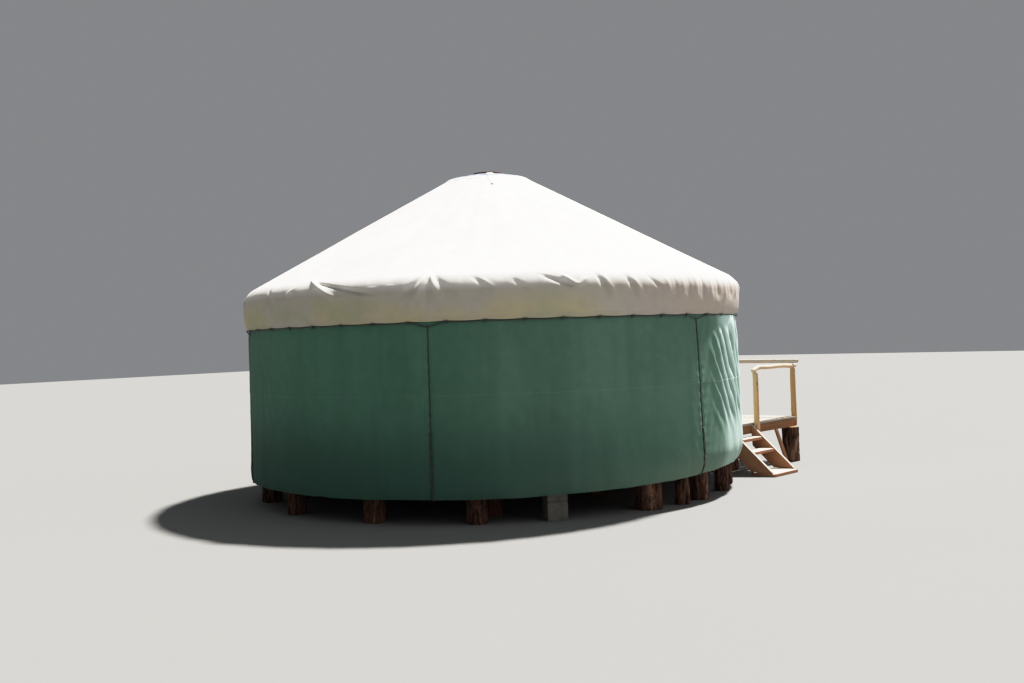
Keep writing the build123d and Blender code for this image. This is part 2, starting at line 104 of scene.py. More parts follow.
class YurtColours(bpy.types.PropertyGroup):
    """Base colours of the finishes."""
    roof_canvas: colour("Roof canvas", "Cream canvas of the roof", (0.680, 0.660, 0.625))
    # The valance colour is painted shade: the roof's own canvas, darkened below the eave where it hangs in
    # shade.
    valance: colour("Valance", "Soiled canvas below the eave", (0.412, 0.381, 0.332))
    wall_canvas: colour("Wall canvas", "Green canvas of the wall", (0.080, 0.160, 0.118))
    cord: colour("Cord", "Drawstring and lacings", (0.012, 0.022, 0.016))
    pale_cord: colour("Pale cord", "Tie of the crown's cap", (0.42, 0.38, 0.30))
    bark: colour("Bark", "Bark of the stumps", (0.066, 0.039, 0.030))
    cut_wood: colour("Cut ends", "Sawn ends of the stumps", (0.36, 0.22, 0.11))
    peeled: colour("Peeled poles", "Posts of the deck", (0.52, 0.30, 0.13))
    pale_pole: colour("Side rails", "Sunlit rails at the deck's sides", (0.52, 0.36, 0.23))
    grey_pole: colour("Front rail", "Weathered rail at the deck's front", (0.44, 0.345, 0.285))
    plank: colour("Planks", "Fascia, rim and floor", (0.195, 0.092, 0.045))
    stair: colour("Stair", "Stair and brace", (0.37, 0.183, 0.105))
    deck: colour("Deck boards", "Weathered deck boards", (0.33, 0.29, 0.24))
    planed: colour("Planed timber", "Door, floor and crown", (0.40, 0.24, 0.11))
    # The hoop's colour is painted shade: darkened all over to match its shaded front.
    hoop: colour("Crown hoop", "Dark hoop round the pane", (0.075, 0.036, 0.026))
    lattice: colour("Lattice", "Bars and roof poles", (0.55, 0.38, 0.20))
    # The concrete's dark grey is painted shade, for the block standing in shade under the floor.
    concrete: colour("Concrete", "Block pier", (0.135, 0.128, 0.108))


# Shapes

UP, ACROSS = np.array([0, 0, 1.0]), np.array([1.0, 0, 0])


def spot(radius, angle, height):
    """Points at a radius, an angle from the door and a height."""
    a = np.radians(angle)
    return np.stack(np.broadcast_arrays(radius * np.sin(a), -radius * np.cos(a), height), axis=-1)


def apart(angle, centre, period=360.0):
    """How far an angle is from the nearest of the centres that repeat with a period."""
    return (angle - centre + period / 2) % period - period / 2


def ripple(u, v, seed, period=64):
    """Smooth random height from -1 to 1: a random value at each whole number of u and v, eased between
    them by 3t^2 - 2t^3. It repeats after a period in u."""
    table = np.random.default_rng(seed).uniform(-1.0, 1.0, (period, 64))
    u, v = np.broadcast_arrays(np.asarray(u, float), np.asarray(v, float))
    iu, iv = np.floor(u).astype(int), np.floor(v).astype(int)
    fu, fv = u - iu, v - iv
    fu, fv = fu * fu * (3 - 2 * fu), fv * fv * (3 - 2 * fv)
    a, b = iu % period, (iu + 1) % period
    c, d = iv % 64, (iv + 1) % 64
    return ((table[a, c] * (1 - fu) + table[b, c] * fu) * (1 - fv)
            + (table[a, d] * (1 - fu) + table[b, d] * fu) * fv)


def ease(t):
    """0 below 0, 1 above 1, and 3t^2 - 2t^3 between."""
    t = np.clip(t, 0.0, 1.0)
    return t * t * (3 - 2 * t)


def bump_at(distance, width):
    """A smooth hill: e to the minus square of distance over width."""
    return np.exp(-(distance / width) ** 2)


def wave(distance, pitch=1.0):
    """The sine of a full turn for each pitch of distance."""
    return np.sin(2 * pi * distance / pitch)


def run_of(points):
    """Distance along a line of points."""
    return np.concatenate([[0], np.cumsum(np.linalg.norm(np.diff(points, axis=0), axis=1))])


def grid(points, flat, tone=0.5, edge=0.5, finish=0):
    """One surface: its points, its two flat coordinates in metres, a tone, its distance from an edge
    and a finish."""
    shape = points.shape[:2]
    flat = np.stack(np.broadcast_arrays(*flat), axis=-1)
    return {"points": points, "uv": np.broadcast_to(flat, shape + (2,)), "tone": np.broadcast_to(tone, shape),
            "edge": np.broadcast_to(edge, shape), "finish": finish}


def piece(name, grids, finishes, replaces=(), thickness=0.0, closed=True, crease=35.0):
    """Joins grids into one mesh of quads with the named finishes, closes their seams and poles, and
    lets the piece ride."""
    first, quads, chosen = 0, [], []
    for g in grids:
        rows, columns = g["points"].shape[:2]
        index = np.arange(rows * columns).reshape(rows, columns) + first
        corners = [index[:-1, :-1], index[:-1, 1:], index[1:, 1:], index[1:, :-1]]
        quads.append(np.stack(corners, axis=-1).reshape(-1, 4))
        chosen.append(np.full(len(quads[-1]), g["finish"]))
        first += rows * columns
    quads = np.concatenate(quads)
    mesh = bpy.data.meshes.new(name)
    mesh.from_pydata(np.concatenate([g["points"].reshape(-1, 3) for g in grids]), [], quads)
    layer = mesh.uv_layers.new(name="cloth")
    uv = np.concatenate([g["uv"].reshape(-1, 2) for g in grids])
    layer.data.foreach_set("uv", uv[quads.ravel()].astype(np.float32).ravel())
    for key in ("tone", "edge"):
        values = np.concatenate([g[key].ravel() for g in grids]).astype(np.float32)
        mesh.attributes.new(key, "FLOAT", "POINT").data.foreach_set("value", values)
    mesh.polygons.foreach_set("material_index", np.concatenate(chosen).astype(np.int32))
    work = bmesh.new()
    work.from_mesh(mesh)
    bmesh.ops.remove_doubles(work, verts=work.verts, dist=2e-5)
    if closed:
        bmesh.ops.recalc_face_normals(work, faces=work.faces)
    work.to_mesh(mesh)
    work.free()
    for finish in finishes:
        mesh.materials.append(finish_of(finish))
    mesh.shade_smooth()
    mesh.set_sharp_from_angle(angle=radians(crease))
    used = np.empty(len(mesh.loops), np.int32)
    mesh.loops.foreach_get("edge_index", used)
    rim = np.bincount(used, minlength=len(mesh.edges)) == 1
    sharp = np.empty(len(mesh.edges), bool)
    mesh.edges.foreach_get("use_edge_sharp", sharp)
    mesh.edges.foreach_set("use_edge_sharp", sharp | rim)
    made = bpy.data.objects.new(name, mesh)
    bpy.context.scene.collection.objects.link(made)
    if thickness:
        solid = made.modifiers.new("thickness", "SOLIDIFY")
        solid.thickness, solid.offset = thickness, -1.0
    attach(made, "root")
    if replaces:
        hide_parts(*replaces)
    return made


def refinish(node, finish):
    """Gives a framed node a finish, and leaves its shape."""
    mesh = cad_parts[node].data
    mesh.materials.clear()
    mesh.materials.append(finish_of(finish))


def tube(path, radius, side, columns=10, tone=0.5, start=0.0):
    """A round section carried along a path, closed to a point at both ends. Its sides are squared up
    against the path's tangent. The radius may vary with the row and the column."""
    tangent = np.gradient(path, axis=0)
    tangent /= np.linalg.norm(tangent, axis=1, keepdims=True)
    side = np.broadcast_to(side, path.shape)
    side = side - (side * tangent).sum(1, keepdims=True) * tangent
    side = side / np.linalg.norm(side, axis=1, keepdims=True)
    other = np.cross(tangent, side)
    turn = np.linspace(0, 2 * pi, columns + 1)
    c, s = np.cos(turn)[:, None], np.sin(turn)[:, None]
    radius = np.broadcast_to(radius, (len(path), columns + 1))[..., None]
    ring = path[:, None] + radius * (side[:, None] * c + other[:, None] * s)
    ends = [np.broadcast_to(path[k], (1, columns + 1, 3)) for k in (0, -1)]
    run = run_of(path) + start
    run = np.concatenate([run[:1], run, run[-1:]])[:, None]
    return grid(np.concatenate([ends[0], ring, ends[1]]), (run, turn * float(np.mean(radius))), tone)


def bark_log(x, y, radius, low, high, seed, columns=60, rows=24):
    """A stump: radius times one plus a slow swell, with furrows that run up the bark where the ripple
    passes through zero, a wider foot, and two sawn ends."""
    turn = np.linspace(0, 1, columns + 1)[None, :]
    z = np.linspace(low, high, rows)[:, None]
    furrow = np.abs(ripple(turn * 22 + ripple(turn * 6, z * 4, seed + 5, 6), z * 5, seed, 22))
    fine = ripple(turn * 48, z * 22, seed + 1, 48)
    swell = 0.035 * ripple(turn * 4, z * 1.4, seed + 2, 4) + 0.05 * bump_at(z - low, 0.09)
    lip = 0.006 * (bump_at(z - low, 0.008) + bump_at(z - high, 0.008))
    r = radius * (0.985 + swell) - 0.012 * (1 - ease(furrow * 3.2)) + 0.0035 * fine - lip
    tone = (seed % 7) / 7

    def ring(r, z):
        """Points round the log's middle."""
        c, s = np.cos(turn * 2 * pi), np.sin(turn * 2 * pi)
        return np.stack(np.broadcast_arrays(x + r * c, y + r * s, z), -1)

    grids = [grid(ring(r, z), (turn * 2 * pi * radius, z + seed), tone)]
    for level, rim, share in ((low, r[0], np.linspace(0, 1, 8)), (high, r[-1], np.linspace(1, 0, 8))):
        share = share[:, None]
        grids.append(grid(ring(share * rim, level), (share * radius, turn), tone, finish=1))
    return grids


def peeled_pole(start, end, radius, seed, bend=None, columns=20, rows=70, crook=0.006, knots=9):
    """A peeled pole: a straight line with a slow crook, a radius that tapers and swells, and knots as
    hills on it."""
    start, end = np.asarray(start, float), np.asarray(end, float)
    long = np.linalg.norm(end - start)
    share = np.linspace(0, 1, rows)
    axis = (end - start) / long
    up = UP if abs(axis[2]) < 0.8 else ACROSS
    side = np.cross(axis, up)
    hold = ease(share * 8) * ease((1 - share) * 8)
    path = start + (end - start) * share[:, None]
    path = path + hold[:, None] * crook * (ripple(share * long * 2.2, 0.5, seed)[:, None] * up
                                           + ripple(share * long * 1.9, 7.5, seed)[:, None] * side)
    if bend is not None:
        path = path + bend(share)[:, None] * up
    turn = np.linspace(0, 1, columns + 1)[None, :]
    run = (share * long)[:, None]
    r = radius * (1.02 - 0.06 * share[:, None] + 0.035 * ripple(turn * 3, run * 5, seed + 1, 3)
                  + 0.02 * ripple(turn * 8, run * 18, seed + 2, 8))
    rng = np.random.default_rng(seed)
    along, aside = rng.uniform(0.05, 0.95, knots), rng.uniform(0, 1, knots)
    sizes = rng.uniform(0.6, 1.2, knots)
    for knot in range(knots):
        away = np.hypot(apart(turn, aside[knot], 1) * 2 * pi * radius, run - along[knot] * long)
        r = r + 0.006 * sizes[knot] * bump_at(away, 0.016 * sizes[knot])
    r = r * (1 - 0.28 * (bump_at(run, 0.004) + bump_at(long - run, 0.004)))
    return tube(path, r, side, columns, (seed % 5) / 5, seed * 3.1)


def plank(start, end, face, width, thickness, seed, ends=(None, None), rows=24, round_off=0.004, warp=0.0015):
    """A sawn board from start to end: a rounded rectangle, wide across the face direction's normal,
    carried along the line with a slight warp. An end may be cut along a shift that depends on the
    distance across the width and the thickness."""
    start, end, face = (np.asarray(v, float) for v in (start, end, face))
    long = np.linalg.norm(end - start)
    axis = (end - start) / long
    face = face - (face @ axis) * axis
    face /= np.linalg.norm(face)
    across = np.cross(face, axis)
    turn = np.linspace(-pi / 4, 2 * pi - pi / 4, 25)
    hw, ht = width / 2, thickness / 2
    reach = np.maximum(np.abs(np.cos(turn)), np.abs(np.sin(turn)))
    p = np.clip(np.cos(turn) / reach * hw, -hw, hw)
    q = np.clip(np.sin(turn) / reach * ht, -ht, ht)
    near = np.clip(1 - (hw - np.abs(p)) / round_off, 0, 1) * np.clip(1 - (ht - np.abs(q)) / round_off, 0, 1)
    p, q = p - np.sign(p) * round_off * 0.3 * near, q - np.sign(q) * round_off * 0.3 * near
    share = np.linspace(0, 1, rows)[:, None]
    inset = np.clip(np.minimum(share, 1 - share) * long / round_off, 0, 1)
    shrink = 1 - (1 - inset) * round_off * 0.5 / min(hw, ht)
    run = share * long
    first, last = (0.0 if cut is None else cut(p, q)[None, :] for cut in ends)
    along = run + first * (1 - share) + last * share
    sway = warp * ripple(run * 1.5, 3.3, seed)
    dip = warp * ripple(run * 1.7, 9.1, seed) + 0.0006 * ripple(run * 9, q * 60, seed + 4)
    points = (start + along[..., None] * axis + (p * shrink + sway)[..., None] * across
              + (q * shrink + dip)[..., None] * face)
    caps = [np.broadcast_to(points[k, :-1].mean(0), (1, len(p), 3)) for k in (0, -1)]
    run = np.concatenate([run[:1], run, run[-1:]])
    rng = np.random.default_rng(seed + 77)
    around = run_of(np.stack([p, q], axis=1)) + rng.uniform(0, 3)
    return grid(np.concatenate([caps[0], points, caps[1]]), (run + seed * 1.7, around), rng.uniform())


# Finishes

class Finish:
    """A material and the nodes that paint it."""

    def __init__(self, name, roughness=0.8, **sockets):
        self.material = bpy.data.materials.new("yurt " + name)
        self.material.use_nodes = True
        self.tree = self.material.node_tree
        self.shader = self.tree.nodes["Principled BSDF"]
        self.shader.inputs["Roughness"].default_value = roughness
        for key, value in sockets.items():
            self.shader.inputs[key.replace("_", " ")].default_value = value

    def node(self, kind, inputs=(), **settings):
        made = self.tree.nodes.new("ShaderNode" + kind)
        for key, value in settings.items():
            setattr(made, key, value)
        for key, value in dict(inputs).items():
            if isinstance(value, bpy.types.NodeSocket):
                self.tree.links.new(value, made.inputs[key])
            else:
                made.inputs[key].default_value = value
        return made

    def place(self, scale=(1, 1, 1), source="Object"):
        """Coordinates stretched by a scale, from the object or its flat coordinates."""
        where = self.node("TexCoord").outputs[source]
        return self.node("Mapping", {"Vector": where, "Scale": scale}).outputs[0]

    def axis(self, name, source="Object"):
        """One of those coordinates, unstretched."""
        return self.node("SeparateXYZ", {0: self.node("TexCoord").outputs[source]}).outputs[name]

    def attribute(self, name):
        return self.node("Attribute", attribute_name=name).outputs["Fac"]

    def noise(self, where, scale, detail=4.0, rough=0.55, distortion=0.0):
        return self.node("TexNoise", {"Vector": where, "Scale": scale, "Detail": detail, "Roughness": rough,
                                      "Distortion": distortion}).outputs["Fac"]

    def cells(self, where, scale):
        """Distance from the nearest of scattered points."""
        return self.node("TexVoronoi", {"Vector": where, "Scale": scale}).outputs["Distance"]

    def math(self, operation, *values):
        return self.node("Math", dict(enumerate(values)), operation=operation).outputs[0]

    def plus(self, a, b):
        return self.math("ADD", a, b)

    def times(self, a, b):
        return self.math("MULTIPLY", a, b)

    def span(self, value, low, high, to_low=0.0, to_high=1.0):
        return self.node("MapRange", {"Value": value, "From Min": low, "From Max": high, "To Min": to_low,
                                      "To Max": to_high}, interpolation_type="SMOOTHSTEP").outputs[0]

    def line(self, value, at, width):
        """1 on a line where the value is at, 0 past the width."""
        away = self.math("ABSOLUTE", self.math("SUBTRACT", value, at))
        return self.span(away, width * 0.4, width, 1.0, 0.0)

    def mix(self, share, a, b, blend="MIX"):
        made = self.node("Mix", data_type="RGBA", blend_type=blend)
        for index, value in ((0, share), (6, a), (7, b)):
            if isinstance(value, bpy.types.NodeSocket):
                self.tree.links.new(value, made.inputs[index])
            else:
                made.inputs[index].default_value = value if index == 0 else (*value, 1.0)
        return made.outputs[2]

    def coat(self, paint, cover, most, colour):
        """A colour over the paint where the cover is 1, up to a share of it."""
        return self.mix(self.times(cover, most), paint, colour)

    def bump(self, height, distance, strength=1.0, normal=None):
        inputs = {"Height": height, "Distance": distance, "Strength": strength}
        if normal is not None:
            inputs["Normal"] = normal
        return self.node("Bump", inputs).outputs[0]

    def done(self, base, normal=None, roughness=None):
        for key, value in (("Base Color", base), ("Normal", normal), ("Roughness", roughness)):
            if value is not None:
                self.tree.links.new(value, self.shader.inputs[key])
        return self.material


def tint(base, factor, shift=(1, 1, 1)):
    return tuple(min(1.0, c * factor * s) for c, s in zip(base, shift))


def valance_painted_shade(f, paint, base, slow, mottle):
    """Below the eave the roof's canvas is painted greyer as the valance's shade, with ochre and green
    stains that gather near its edge on the shady side, and a pinker grey on the sunny side."""
    # Painted shade: below the eave the canvas is darkened to the valance colour.
    eave_painted_shade = f.span(f.plus(f.axis("Z"), f.times(slow, 0.06)), 2.37, 2.48, 1.0, 0.0)
    ochre = f.span(f.noise(f.place((0.9, 0.9, 1.3)), 1.0, 4.0, 0.6), 0.37, 0.56)
    green = f.span(f.noise(f.place((1.3, 1.3, 2.0)), 1.0, 4.0, 0.6), 0.44, 0.60)
    shade = f.span(f.axis("Y"), 0.1, 1.7)
    low = f.times(f.span(f.axis("Z"), 2.12, 2.42, 0.75, 0.0), f.math("MAXIMUM", shade, 0.3))
    hung = f.mix(f.times(ochre, low), base, tint(base, 1.0, (1.10, 1.02, 0.66)))
    hung = f.mix(f.times(green, low), hung, tint(base, 0.92, (0.88, 1.0, 0.72)))
    hung = f.coat(hung, f.span(mottle, 0.4, 0.7), 0.3, tint(base, 0.82))
    hung = f.mix(f.math("SUBTRACT", 1.0, shade), hung, (1.0, 0.92, 0.94), "MULTIPLY")
    return f.mix(eave_painted_shade, paint, hung)


def foot_dirt_and_shade(f, paint, base, top):
    """Splashes below a height, made darker on the shady side as painted shade, a paler olive on the
    sunny one as painted light bounced from the grass, and a colder darkening on the shady side as
    painted shade."""
    shady = f.axis("Y")
    splash = f.plus(f.axis("Z"), f.times(f.noise(f.place((2.5, 2.5, 1)), 1.6, 5.0, 0.65), -0.35))
    # Splashed dirt near the foot, made stronger on the shady side as painted shade.
    mud_and_painted_shade = f.times(f.span(splash, top - 0.80, top, 0.95, 0.0), f.span(shady, -0.6, 2.8, 0.25, 0.85))
    paint = f.mix(mud_and_painted_shade, paint, tint(base, 0.48, (0.95, 1.0, 1.08)))
    # Painted light: a paler olive low on the sunny side, as light bounced from the grass.
    dust = f.times(f.span(splash, 0.12, 0.55, 1.0, 0.0), f.span(shady, -1.5, 2.4, 0.42, 0.0))
    paint = f.mix(dust, paint, (0.165, 0.185, 0.120))
    # Painted shade: darker and colder on the shady side.
    return f.mix(f.span(shady, 1.7, 2.9), paint, (0.76, 0.93, 0.90), "MULTIPLY")


def canvas_finish(name, base, stitched, valance=None, lap=None, dirt_top=None):
    """Woven canvas: a slow fading, mottling, streaks, and slubs in the weave, broad vertical bands of painted
    fold shade, and hems stitched beside the seams. The roof's valance is darkened below the eave as
    painted shade, with stains. The wall's is paler on its sunny side as painted sunlight, with painted
    highlights on the crests of its folds, has a level lap with a painted highlight that is strongest on
    the sunny side, and dirt towards its foot, made darker on its shady side as painted shade."""
    f = Finish(name, 0.9, Sheen_Weight=0.04, Sheen_Roughness=0.6, Specular_IOR_Level=0.10)
    where = f.place()
    slow, mottle = f.noise(where, 0.9, 3.0), f.noise(where, 9.0, 5.0, 0.6)
    streak = f.noise(f.place((7, 7, 0.7)), 1.0, 4.0, 0.6)
    painted_fold_shade = f.noise(f.place((2.6, 2.6, 0.22)), 1.0, 3.0, 0.5)
    slubs = f.noise(f.place((1, 1, 0.35)), 260.0, 2.0, 0.7)
    paint = f.mix(f.span(slow, 0.3, 0.7), tint(base, 0.90), tint(base, 1.09))
    paint = f.coat(paint, f.span(mottle, 0.35, 0.75), 0.45, tint(base, 1.25, (1.05, 1, 0.98)))
    paint = f.coat(paint, f.span(streak, 0.52, 0.78), 0.22, tint(base, 0.66, (1.04, 1, 0.95)))
    # Painted shade: broad soft vertical bands darken the canvas as the shade of folds.
    paint = f.coat(paint, f.span(painted_fold_shade, 0.44, 0.58), 0.30, tint(base, 0.72))
    paint = f.coat(paint, f.span(slubs, 0.3, 0.7), 0.24, tint(base, 0.66))
    if valance:
        paint = valance_painted_shade(f, paint, valance, slow, mottle)
    if lap:
        south = f.times(f.axis("Y"), -1.0)
        # Painted sunlight: the wall is paler towards its sunny (-Y) side.
        paint = f.coat(paint, f.span(south, 0.15, 1.15), 0.9, (0.26, 0.40, 0.345))
        # Painted highlights: paler still on the crests of the folds, taken from the tone attribute.
        painted_crest_light = f.span(f.attribute("tone"), 0.28, 0.85, 0.0, 0.92)
        paint = f.mix(painted_crest_light, paint, (0.57, 0.77, 0.715))
    edge = f.attribute("edge")
    stitches = f.plus(f.line(edge, 0.030, 0.0030), f.line(edge, 0.052, 0.0030))
    paint = f.coat(paint, stitches, stitched, tint(base, 0.5))
    lift = f.times(stitches, -0.4)
    if lap:
        # Painted highlight: a pale line along the lap, strongest on the sunny side; the same line also lifts
        # the bump.
        lap_ridge_and_highlight = f.line(f.axis("Z"), lap, 0.011)
        paint = f.mix(f.times(lap_ridge_and_highlight, f.span(south, 0.25, 0.75, 0.07, 1.0)), paint, (0.16, 0.21, 0.19), "ADD")
        lift = f.plus(lift, f.times(lap_ridge_and_highlight, 0.8))
        paint = foot_dirt_and_shade(f, paint, base, dirt_top)
    weave = f.plus(f.noise(f.place((1, 1, 0.25)), 330.0, 1.0), f.noise(f.place((0.25, 0.25, 1)), 330.0, 1.0))
    normal = f.bump(weave, 0.0016, 0.35)
    normal = f.bump(f.noise(where, 24.0, 4.0), 0.004, 0.35, normal)
    welt = f.span(edge, 0.0, 0.058, 1.0, 0.0)
    return f.done(paint, f.bump(f.plus(lift, f.times(welt, 0.3)), 0.003, 1.0, normal))


def wood_finish(name, base, along, source="UV", rough=0.75, weather=0.0, knots=0.0, worn=0.0, shine=0.06):
    """Timber: grain stretched along the piece, darker late wood, a tone of its own for each piece that
    has flat coordinates, greying where it has weathered, paler on upward faces as wear and as painted
    sunlight from above, and dark knots."""
    f = Finish(name, rough, Specular_IOR_Level=shine)
    where = f.place(along, source)
    wander = f.noise(where, 3.0, 3.0)
    grain = f.noise(where, 22.0, 5.0, 0.65, 0.4)
    fine = f.noise(where, 110.0, 3.0, 0.7)
    paint = f.mix(f.span(wander, 0.3, 0.7), tint(base, 0.82, (1.02, 0.98, 0.92)), tint(base, 1.15))
    paint = f.coat(paint, f.span(grain, 0.45, 0.75), 0.55, tint(base, 0.50, (1.05, 0.92, 0.8)))
    paint = f.coat(paint, f.span(fine, 0.45, 0.8), 0.35, tint(base, 0.62))
    if source == "UV":
        paint = f.coat(paint, f.attribute("tone"), 0.55, tint(base, 0.50, (1.05, 1, 0.92)))
    if weather:
        grey = tint([sum(base) / 3] * 3, 1.0, (1.05, 1, 0.93))
        paint = f.coat(paint, f.span(f.noise(f.place(), 2.6, 5.0, 0.6), 0.35, 0.65), weather, grey)
    # Paler on upward faces: wear, and painted sunlight from above.
    if worn:
        up = f.node("SeparateXYZ", {0: f.node("NewGeometry").outputs["Normal"]}).outputs["Z"]
        pale = f.mix(f.span(grain, 0.4, 0.7), (0.50, 0.455, 0.40), (0.33, 0.28, 0.23))
        paint = f.coat(paint, f.span(up, 0.3, 0.85), worn, pale)
    if knots:
        dark = f.span(f.cells(f.place((3.2, 9, 9), source), 1.0), 0.05, 0.16, 1.0, 0.0)
        paint = f.coat(paint, dark, knots, tint(base, 0.22, (1, 0.8, 0.7)))
    normal = f.bump(f.plus(grain, f.times(fine, 0.5)), 0.0022, 0.6)
    return f.done(paint, normal, f.span(grain, 0.2, 0.8, rough - 0.1, min(1.0, rough + 0.12)))


def bark_finish(name, base):
    """Bark: dark furrows that run up the log, redder plates between them and a little pale lichen."""
    f = Finish(name, 0.95, Specular_IOR_Level=0.04)
    plates = f.noise(f.place((16, 2.6, 1), "UV"), 1.6, 6.0, 0.7, 0.7)
    torn = f.noise(f.place((9, 1.3, 1), "UV"), 1.1, 4.0, 0.6, 0.5)
    paint = f.mix(f.span(plates, 0.38, 0.62), tint(base, 0.14), tint(base, 1.6, (1.15, 0.95, 0.85)))
    paint = f.coat(paint, f.span(torn, 0.56, 0.64), 0.75, (0.26, 0.155, 0.095))
    paint = f.coat(paint, f.span(f.noise(f.place(), 60.0, 4.0), 0.4, 0.8), 0.5, tint(base, 0.3))
    paint = f.coat(paint, f.span(f.noise(f.place(), 7.0, 5.0, 0.7), 0.62, 0.74), 0.35, (0.20, 0.19, 0.14))
    paint = f.coat(paint, f.attribute("tone"), 0.3, tint(base, 0.9, (1.5, 1.2, 1)))
    return f.done(paint, f.bump(f.plus(plates, f.noise(f.place(), 45.0, 5.0)), 0.008, 0.9))


def sawn_finish(name, base):
    """A sawn log end: growth rings at even steps of the radius, and cracks that run to the middle."""
    f = Finish(name, 0.85, Specular_IOR_Level=0.08)
    jitter = f.times(f.noise(f.place(), 5.0, 3.0), 0.02)
    rings = f.math("FRACT", f.times(f.plus(f.axis("X", "UV"), jitter), 150.0))
    crack = f.span(f.noise(f.place((2, 9, 1), "UV"), 3.0, 3.0), 0.60, 0.66)
    paint = f.coat(base, f.span(rings, 0.3, 0.9), 0.55, tint(base, 0.5, (1.1, 0.9, 0.8)))
    paint = f.coat(paint, crack, 0.7, tint(base, 0.15))
    return f.done(paint, f.bump(rings, 0.0012, 0.4))


def cord_finish(name, base):
    """Twisted cord: slanting strands that follow its length, with fine fuzz."""
    f = Finish(name, 0.8, Sheen_Weight=0.15, Sheen_Roughness=0.5)
    lay = f.math("SINE", f.plus(f.times(f.axis("X", "UV"), 520.0), f.times(f.axis("Y", "UV"), 330.0)))
    fuzz = f.noise(f.place(), 300.0, 3.0)
    paint = f.mix(f.span(lay, -1, 1), tint(base, 0.55), tint(base, 1.8))
    paint = f.coat(paint, fuzz, 0.3, tint(base, 2.6))
    return f.done(paint, f.bump(f.plus(lay, fuzz), 0.0016, 0.8))


def concrete_finish(name, base):
    """Cast concrete: pores, aggregate of uneven grey and stains."""
    f = Finish(name, 0.93, Specular_IOR_Level=0.08)
    where = f.place()
    paint = f.mix(f.span(f.noise(where, 6.0, 6.0, 0.65), 0.35, 0.7), tint(base, 0.72), tint(base, 1.2))
    pores = f.cells(where, 130.0)
    paint = f.mix(f.span(pores, 0.05, 0.3, 0.45, 0.0), paint, tint(base, 0.35))
    return f.done(paint, f.bump(f.plus(f.span(pores, 0.0, 0.35), f.noise(where, 40.0, 5.0)), 0.003, 0.7))


def pane_finish(name):
    """A clouded plastic pane: light passes, with scratches and dust."""
    f = Finish(name, 0.18, Transmission_Weight=0.8, IOR=1.45)
    dust = f.span(f.noise(f.place(), 9.0, 6.0, 0.7), 0.4, 0.75)
    paint = f.mix(dust, (0.82, 0.87, 0.86), (0.62, 0.62, 0.55))
    scratches = f.noise(f.place((2, 40, 2)), 8.0, 3.0)
    return f.done(paint, f.bump(scratches, 0.0006, 0.3), f.span(dust, 0.0, 1.0, 0.12, 0.5))


def sky_painted_film_finish(name):
    """A clear plastic sheet over the crown, painted blue-grey as shade lit by the sky, creased, hazed with
    dust.
    """
    f = Finish(name, 0.35, Specular_IOR_Level=0.4)
    where = f.place()
    haze = f.span(f.noise(where, 7.0, 5.0, 0.65), 0.35, 0.7)
    # Painted shade lit by the sky: this blue-grey is not the sheet's own colour.
    paint = f.mix(haze, (0.20, 0.23, 0.34), (0.33, 0.36, 0.45))
    creased = f.noise(where, 14.0, 3.0, 0.5, 1.2)
    return f.done(paint, f.bump(creased, 0.006, 0.5), f.span(haze, 0, 1, 0.3, 0.6))


def iron_finish(name):
    """Black iron: hammered, with rust in its hollows."""
    f = Finish(name, 0.55, Metallic=0.7)
    where = f.place()
    rust = f.span(f.noise(where, 30.0, 5.0, 0.7), 0.55, 0.7)
    paint = f.mix(rust, (0.018, 0.017, 0.017), (0.10, 0.035, 0.015))
    return f.done(paint, f.bump(f.cells(where, 90.0), 0.0012, 0.5), f.span(rust, 0, 1, 0.45, 0.85))


def finish_of(name):
    """The finish of that name, made when it is first asked for."""
    kept = bpy.data.materials.get("yurt " + name)
    if kept:
        return kept
    scene = bpy.context.scene
    c = scene.yurt_colours
    pole, board, bar, hoop = (0.5, 9, 1), (0.6, 8, 1), (3, 3, 3), (3, 3, 12)
    timbers = {
        "peeled pole": (c.peeled, pole, dict(rough=0.6, weather=0.25, knots=0.7, worn=0.5)),
        "grey pole": (c.grey_pole, pole, dict(rough=0.8, weather=0.6, knots=0.6, worn=0.4)),
        "pale pole": (c.pale_pole, pole, dict(rough=0.7, weather=0.2, knots=0.6, worn=0.7)),
        "plank": (c.plank, board, dict(knots=0.5, worn=0.8)),
        "stair plank": (c.stair, board, dict(knots=0.5, worn=0.9)),
        "deck board": (c.deck, board, dict(rough=0.85, weather=0.55, knots=0.35, worn=0.3)),
        "planed timber": (c.planed, (0.6, 7, 1), dict(rough=0.5, knots=0.4, shine=0.3)),
        "floor timber": (c.plank, (6, 0.5, 6), dict(source="Object")),
        "hoop timber": (c.planed, hoop, dict(source="Object", rough=0.55)),
        "dark hoop": (c.hoop, hoop, dict(source="Object", rough=0.6)),
        "lattice wood": (c.lattice, bar, dict(source="Object", rough=0.6)),
    }
    if name in timbers:
        base, along, settings = timbers[name]
        return wood_finish(name, tuple(base), along, **settings)
    makers = {
        "roof canvas": (canvas_finish, c.roof_canvas, dict(stitched=0.55, valance=tuple(c.valance))),
        "wall canvas": (canvas_finish, c.wall_canvas,
                        dict(stitched=0.3, lap=scene.yurt_sizes.lap_height, dirt_top=1.15)),
        "cord": (cord_finish, c.cord, {}),
        "pale cord": (cord_finish, c.pale_cord, {}),
        "bark": (bark_finish, c.bark, {}),
        "sawn end": (sawn_finish, c.cut_wood, {}),
        "concrete": (concrete_finish, c.concrete, {}),
    }
    if name in makers:
        maker, base, settings = makers[name]
        return maker(name, tuple(base), **settings)
    return {"film": sky_painted_film_finish, "pane": pane_finish, "iron": iron_finish}[name](name)


# Canvas

